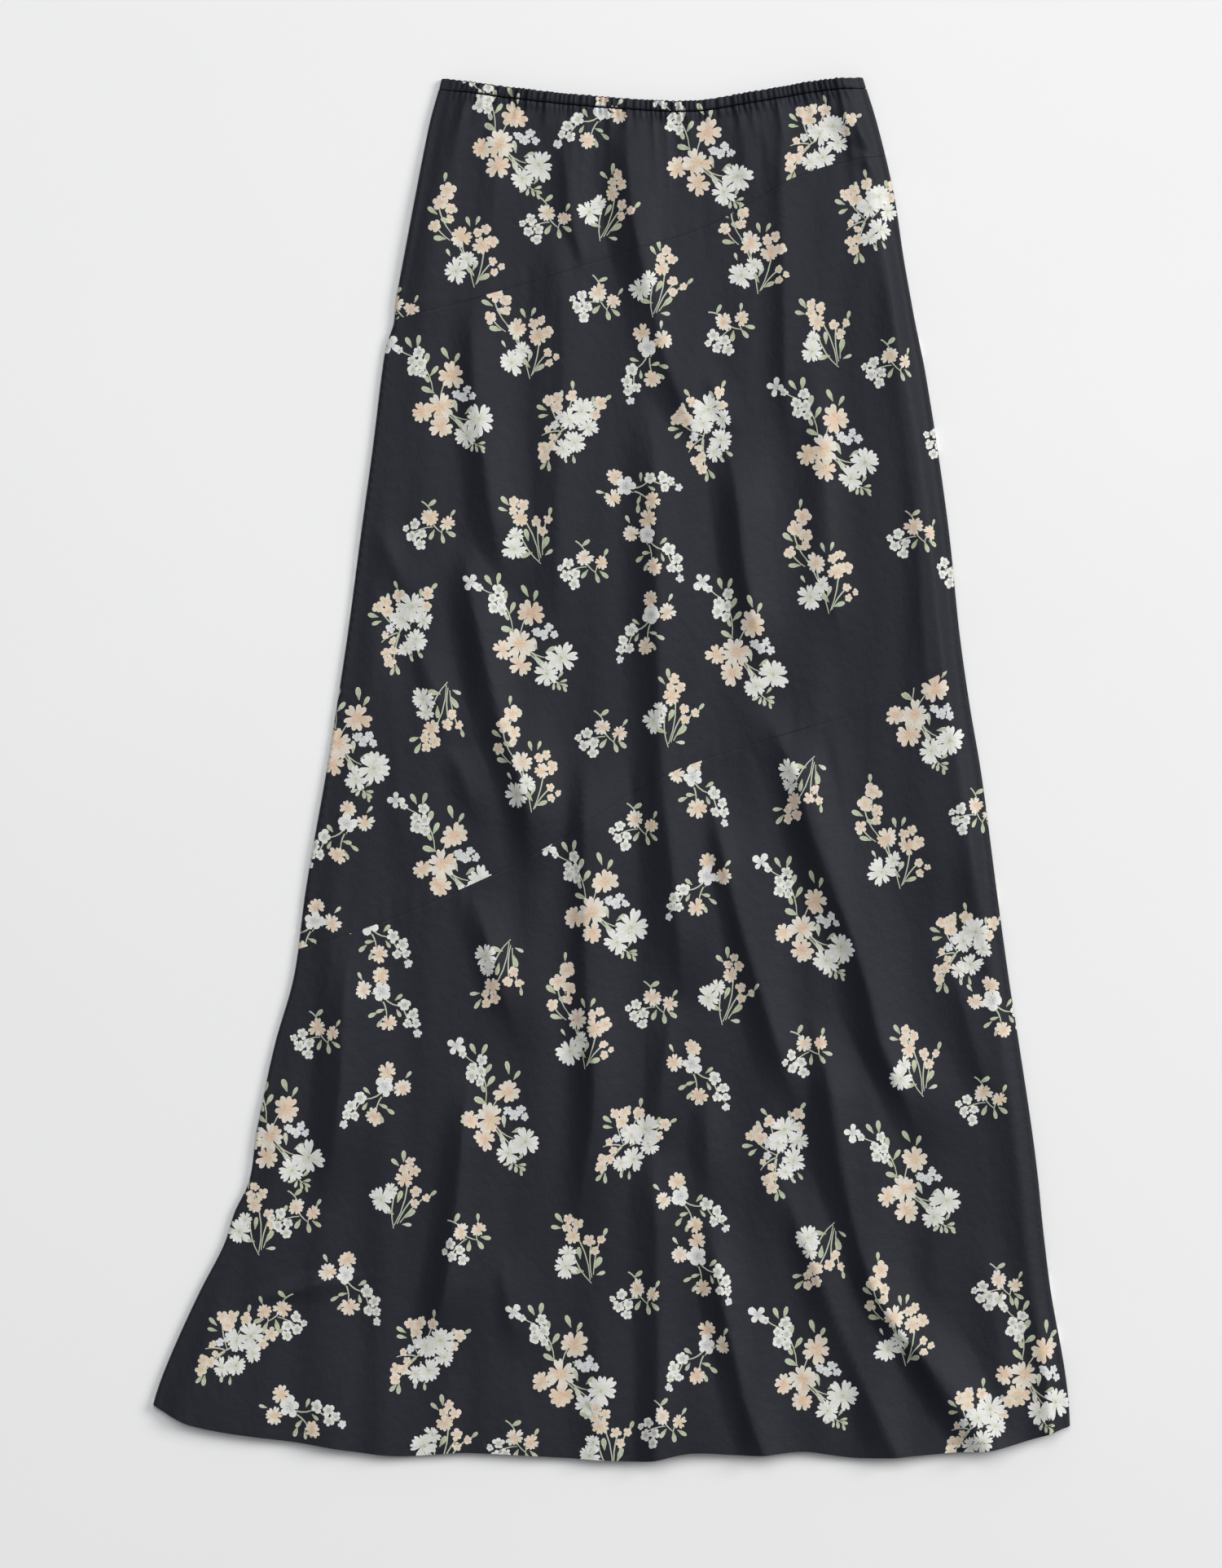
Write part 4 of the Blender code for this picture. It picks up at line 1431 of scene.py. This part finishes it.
def weave_height(nodes, cloth_at):
    """A fine even weave with slubs along the weft, as heights from 0 to 1."""
    split = nodes.add("ShaderNodeSeparateXYZ", {0: cloth_at})
    turns = 2.0 * math.pi / THREAD_PITCH
    warp = nodes.maths("SINE", nodes.maths("MULTIPLY", split.outputs[0], turns), 0.0)
    weft = nodes.maths("SINE", nodes.maths("MULTIPLY", split.outputs[1], turns), 0.0)
    threads = nodes.maths("MULTIPLY", warp, weft)
    slubs = nodes.noise(nodes.stretched(cloth_at, 0.07, 1.6), 1.0, 3.0, 0.6)
    grain = nodes.noise(nodes.stretched(cloth_at, 1.3, 1.3), 1.0, 2.0, 0.6)
    height = nodes.maths("MULTIPLY_ADD", threads, 0.12, slubs)
    return nodes.maths("MULTIPLY_ADD", grain, 0.7, height), slubs, grain


def cloth_surface(nodes, colour, height, roughness, strength):
    """The satin face: a broad soft gloss over the fine weave."""
    crinkle = nodes.noise(nodes.stretched(nodes.attribute("cloth_at").outputs["Vector"],
                                          0.16, 0.11), 1.0, 3.0, 0.55)
    creased = nodes.add("ShaderNodeBump", {"Height": crinkle, "Strength": CRINKLE_STRENGTH,
                                           "Distance": CRINKLE})
    bump = nodes.add("ShaderNodeBump", {"Height": height, "Strength": strength,
                                        "Distance": WEAVE_DEPTH, "Normal": creased.outputs[0]})
    shader = nodes.shader
    nodes.give(shader.inputs["Base Color"], colour)
    nodes.give(shader.inputs["Normal"], bump.outputs["Normal"])
    nodes.give(shader.inputs["Roughness"], roughness)
    shader.inputs["Specular IOR Level"].default_value = CLOTH_SPECULAR
    shader.inputs["Sheen Weight"].default_value = CLOTH_SHEEN
    shader.inputs["Sheen Roughness"].default_value = SHEEN_ROUGHNESS
    shader.inputs["Sheen Tint"].default_value = (*SHEEN_COLOUR, 1.0)


def printed_material(name):
    """The dark ground with the flowers' inks, as the cloth's face shows them."""
    nodes = Nodes(name)
    cloth_at = nodes.attribute("cloth_at").outputs["Vector"]
    petal_at = nodes.attribute("petal_at").outputs["Vector"]
    place = nodes.add("ShaderNodeSeparateXYZ", {0: petal_at})
    along, across, printed = place.outputs
    width = nodes.add("ShaderNodeValToRGB", {"Fac": along})
    ramp = width.color_ramp
    first, *between, last = PETAL_PROFILE
    for element, (share, wide) in zip(ramp.elements, (first, last)):
        element.position = share
        element.color = (wide, wide, wide, 1.0)
    for share, wide in between:
        ramp.elements.new(share).color = (wide, wide, wide, 1.0)
    aside = nodes.maths("ABSOLUTE", across, 0.0)
    to_rim = nodes.maths("DIVIDE", aside, width.outputs["Color"])
    side_rim = nodes.span(to_rim, 0.55, 1.0)
    tip_rim = nodes.span(along, 0.72, 1.0)
    rim = nodes.maths("MAXIMUM", side_rim, tip_rim)
    ragged = nodes.noise(nodes.stretched(petal_at, 2.0, 5.0, 9.0), 1.0, 2.0)
    reach = nodes.maths("MULTIPLY_ADD", ragged, -0.35, along)
    heart = nodes.span(reach, 0.02, 0.38, 1.0, 0.0)
    body_ink = nodes.attribute("ink_body").outputs["Color"]
    heart_ink = nodes.attribute("ink_heart").outputs["Color"]
    rim_ink = nodes.attribute("ink_rim").outputs["Color"]
    colour = nodes.mix(nodes.maths("MULTIPLY", heart, 0.85), body_ink, heart_ink)
    colour = nodes.mix(nodes.maths("MULTIPLY", rim, 0.75), colour, rim_ink)
    streaks = nodes.noise(nodes.stretched(petal_at, 1.2, 5.5, 7.0), 1.0, 3.0)
    streak = nodes.span(streaks, 0.3, 0.7, 0.86, 1.04, False)
    veined = nodes.mix(1.0, colour, streak, "MULTIPLY")
    inked = nodes.span(printed, 0.2, 0.8, 0.0, 1.0, False)
    colour = nodes.mix(inked, colour, veined)
    height, slubs, grain = weave_height(nodes, cloth_at)
    tint = nodes.span(slubs, 0.3, 0.7, 0.93, 1.07, False)
    tint = nodes.maths("MULTIPLY", tint, nodes.span(grain, 0.3, 0.7, 0.95, 1.05, False))
    colour = nodes.mix(1.0, colour, tint, "MULTIPLY")
    roughness = nodes.span(slubs, 0.25, 0.75, CLOTH_ROUGHNESS - 0.04, CLOTH_ROUGHNESS + 0.05,
                           False)
    cloth_surface(nodes, colour, height, roughness, WEAVE_STRENGTH)
    return nodes.material


def plain_material(name, colour):
    """The cloth's wrong side: matt and dark, with the same weave."""
    nodes = Nodes(name)
    cloth_at = nodes.attribute("cloth_at").outputs["Vector"]
    height, slubs, grain = weave_height(nodes, cloth_at)
    tint = nodes.maths("MULTIPLY", nodes.span(slubs, 0.3, 0.7, 0.85, 1.15, False),
                     nodes.span(grain, 0.3, 0.7, 0.9, 1.1, False))
    shade = nodes.mix(1.0, (*colour, 1.0), tint, "MULTIPLY")
    cloth_surface(nodes, shade, height, PLAIN_ROUGHNESS, PLAIN_WEAVE_STRENGTH)
    return nodes.material


def thread_material(name):
    """Dark twisted sewing thread."""
    nodes = Nodes(name)
    place = nodes.add("ShaderNodeTexCoord").outputs["Object"]
    twist = nodes.noise(nodes.stretched(place, 4000.0, 1500.0, 4000.0), 1.0, 2.0)
    shade = nodes.mix(twist, (*THREAD_DARK, 1.0), (*THREAD_LIGHT, 1.0))
    bump = nodes.add("ShaderNodeBump", {"Height": twist, "Strength": 0.5,
                                        "Distance": THREAD_TWIST})
    nodes.give(nodes.shader.inputs["Base Color"], shade)
    nodes.give(nodes.shader.inputs["Normal"], bump.outputs["Normal"])
    nodes.shader.inputs["Roughness"].default_value = THREAD_ROUGHNESS
    nodes.shader.inputs["Specular IOR Level"].default_value = 0.2
    return nodes.material


def floor_material():
    """Plain pale paper."""
    nodes = Nodes("floor_paper")
    place = nodes.add("ShaderNodeTexCoord").outputs["Object"]
    mottle = nodes.noise(place, 3.0, 3.0)
    shade = nodes.span(mottle, 0.3, 0.7, 0.985, 1.0, False)
    colour = nodes.mix(1.0, (*FLOOR_COLOUR, 1.0), shade, "MULTIPLY")
    nodes.give(nodes.shader.inputs["Base Color"], colour)
    nodes.shader.inputs["Roughness"].default_value = FLOOR_ROUGHNESS
    nodes.shader.inputs["Specular IOR Level"].default_value = 0.1
    return nodes.material


# ------------------------------------------------------------------ camera, light and floor
def make_camera():
    """A camera that looks straight down on the skirt."""
    data = bpy.data.cameras.new("camera")
    data.sensor_fit = "VERTICAL"
    data.sensor_height = SENSOR
    data.lens = LENS
    data.clip_end = 50.0
    camera = linked("camera", data)
    camera.location = (0.0, FRAME_MIDDLE, FRAME_LENGTH * LENS / SENSOR)
    bpy.context.scene.camera = camera


def area_light(name, place, power, colour):
    """A large soft round light, aimed at the skirt's middle."""
    data = bpy.data.lights.new(name, "AREA")
    data.shape = "DISK"
    data.size = LIGHT_SIZE
    data.energy = power
    data.color = colour
    light = linked(name, data)
    light.location = place
    light.rotation_euler = (-Vector(place)).to_track_quat("-Z", "Y").to_euler()


def make_lights():
    """A low key light, a light above and a weak even backdrop."""
    area_light("key", KEY_PLACE, KEY_POWER, KEY_COLOUR)
    area_light("top", TOP_PLACE, TOP_POWER, TOP_COLOUR)
    world = bpy.data.worlds.new("studio")
    world.use_nodes = True
    backdrop = world.node_tree.nodes["Background"]
    backdrop.inputs["Color"].default_value = (*WORLD_COLOUR, 1.0)
    backdrop.inputs["Strength"].default_value = WORLD_STRENGTH
    bpy.context.scene.world = world


def make_floor():
    """The pale surface that the skirt lies on."""
    mesh = bpy.data.meshes.new("floor")
    half = FLOOR_SIZE / 2.0
    corners = ((-half, -half, FLOOR_HEIGHT), (half, -half, FLOOR_HEIGHT),
               (half, half, FLOOR_HEIGHT), (-half, half, FLOOR_HEIGHT))
    mesh.from_pydata(corners, [], [(0, 1, 2, 3)])
    mesh.materials.append(floor_material())
    floor = linked("floor", mesh)


# ------------------------------------------------------------------ building
def flat_size(side, upper, lower):
    """Width, length and area that a panel was cut to, in metres."""
    across = np.linspace(0.0, 1.0, AREA_COLUMNS)
    high = upper(across)
    low = lower(across)
    downs = np.linspace(float(high.min()), float(low.max()), AREA_ROWS)
    left, right = seam_places(downs)
    widths = side.measure.at(right, downs) - side.measure.at(left, downs)
    row_widths = np.interp(0.5 * (high + low), downs, widths)
    area = float(np.mean((low - high) * row_widths))
    return float(widths.max()) * MM, float(low.max() - high.min()) * MM, area * MM * MM


def finished(piece, node, materials):
    """Gives a piece its materials and its body, and hides the CAD node that it stands for."""
    for material in materials:
        piece.data.materials.append(material)
    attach(piece, "root")
    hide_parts(node)


def make_panels(front, back, materials):
    """The six panels, each with its flat size."""
    panels = {}
    plans = (
        ("yoke", casing_line, yoke_seam, YOKE_COLUMNS, YOKE_ROWS),
        ("middle", yoke_seam, lower_seam, MIDDLE_COLUMNS, MIDDLE_ROWS),
        ("lower", lower_seam, hem_edge, LOWER_COLUMNS, LOWER_ROWS),
    )
    for prefix, side in (("front", front), ("back", back)):
        for part, upper, lower, columns, rows in plans:
            node = prefix + "_" + part
            if side is back:
                columns = int(columns * BACK_COARSER)
                rows = int(rows * BACK_COARSER)
            piece = sewn_panel(node + "_cloth", side, upper, lower, columns, rows, PRINT_SEED)
            finished(piece, node, materials)
            panels[node] = (piece, flat_size(side, upper, lower))
    return panels


def make_casing(front, back, materials):
    """The gathered casing: a front half and a back half, joined at the side seams."""
    halves = []
    upper = shifted(waist_edge, -CASING_PRINT_REACH)
    lower = shifted(waist_edge, CASING_PRINT_REACH)
    for side in (front, back):
        grid = lattice(waist_edge, casing_line, CASING_COLUMNS, CASING_ROWS, CASING_INSET,
                       CASING_EDGE_ROWS)
        chosen = marks_on(side, upper, lower, PRINT_SEED)
        halves.append(cloth_shell("waist_casing_half", side, grid, chosen, CASING_CLOTH,
                                  CASING_INSET))
    casing = halves[0]
    with bpy.context.temp_override(active_object=casing, object=casing,
                                   selected_objects=halves, selected_editable_objects=halves):
        bpy.ops.object.join()
    casing.name = "waist_casing_cloth"
    finished(casing, "waist_casing", materials)
    return casing


def make_stitching(front, back):
    """The stitches along the hem and along the casing."""
    thread = thread_material("sewing_thread")
    pieces = []
    for name, line, stitch, sink, slot in (
            ("hem_stitching", shifted(hem_edge, -HEM_DEPTH), HEM_STITCH, HEM_THREAD_SINK,
             "printed_cloth"),
            ("waist_stitching", shifted(casing_line, -CASING_STITCH_INSET), WAIST_STITCH,
             WAIST_THREAD_SINK, "waist_cloth")):
        rows = ((front, line, *stitch, THREAD_LIFT), (back, line, *stitch, sink))
        piece = stitching(name, rows, thread)
        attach(piece, "root")
        pieces.append(piece)
    return pieces


def main():
    view = bpy.context.scene.view_settings
    view.view_transform = "Standard"
    view.look = "None"
    make_camera()
    make_lights()
    make_floor()
    front = Layer(front_face, 1.0, Measure(front_face), PLACES)
    back = Layer(back_face, -1.0, Measure(back_face), back_places())
    materials = (printed_material("printed_cloth"),
                 plain_material("cloth_wrong_side", WRONG_SIDE_COLOUR))
    panels = make_panels(front, back, materials)
    casing = make_casing(front, back, materials)
    hem_stitching, waist_stitching = make_stitching(front, back)


main()
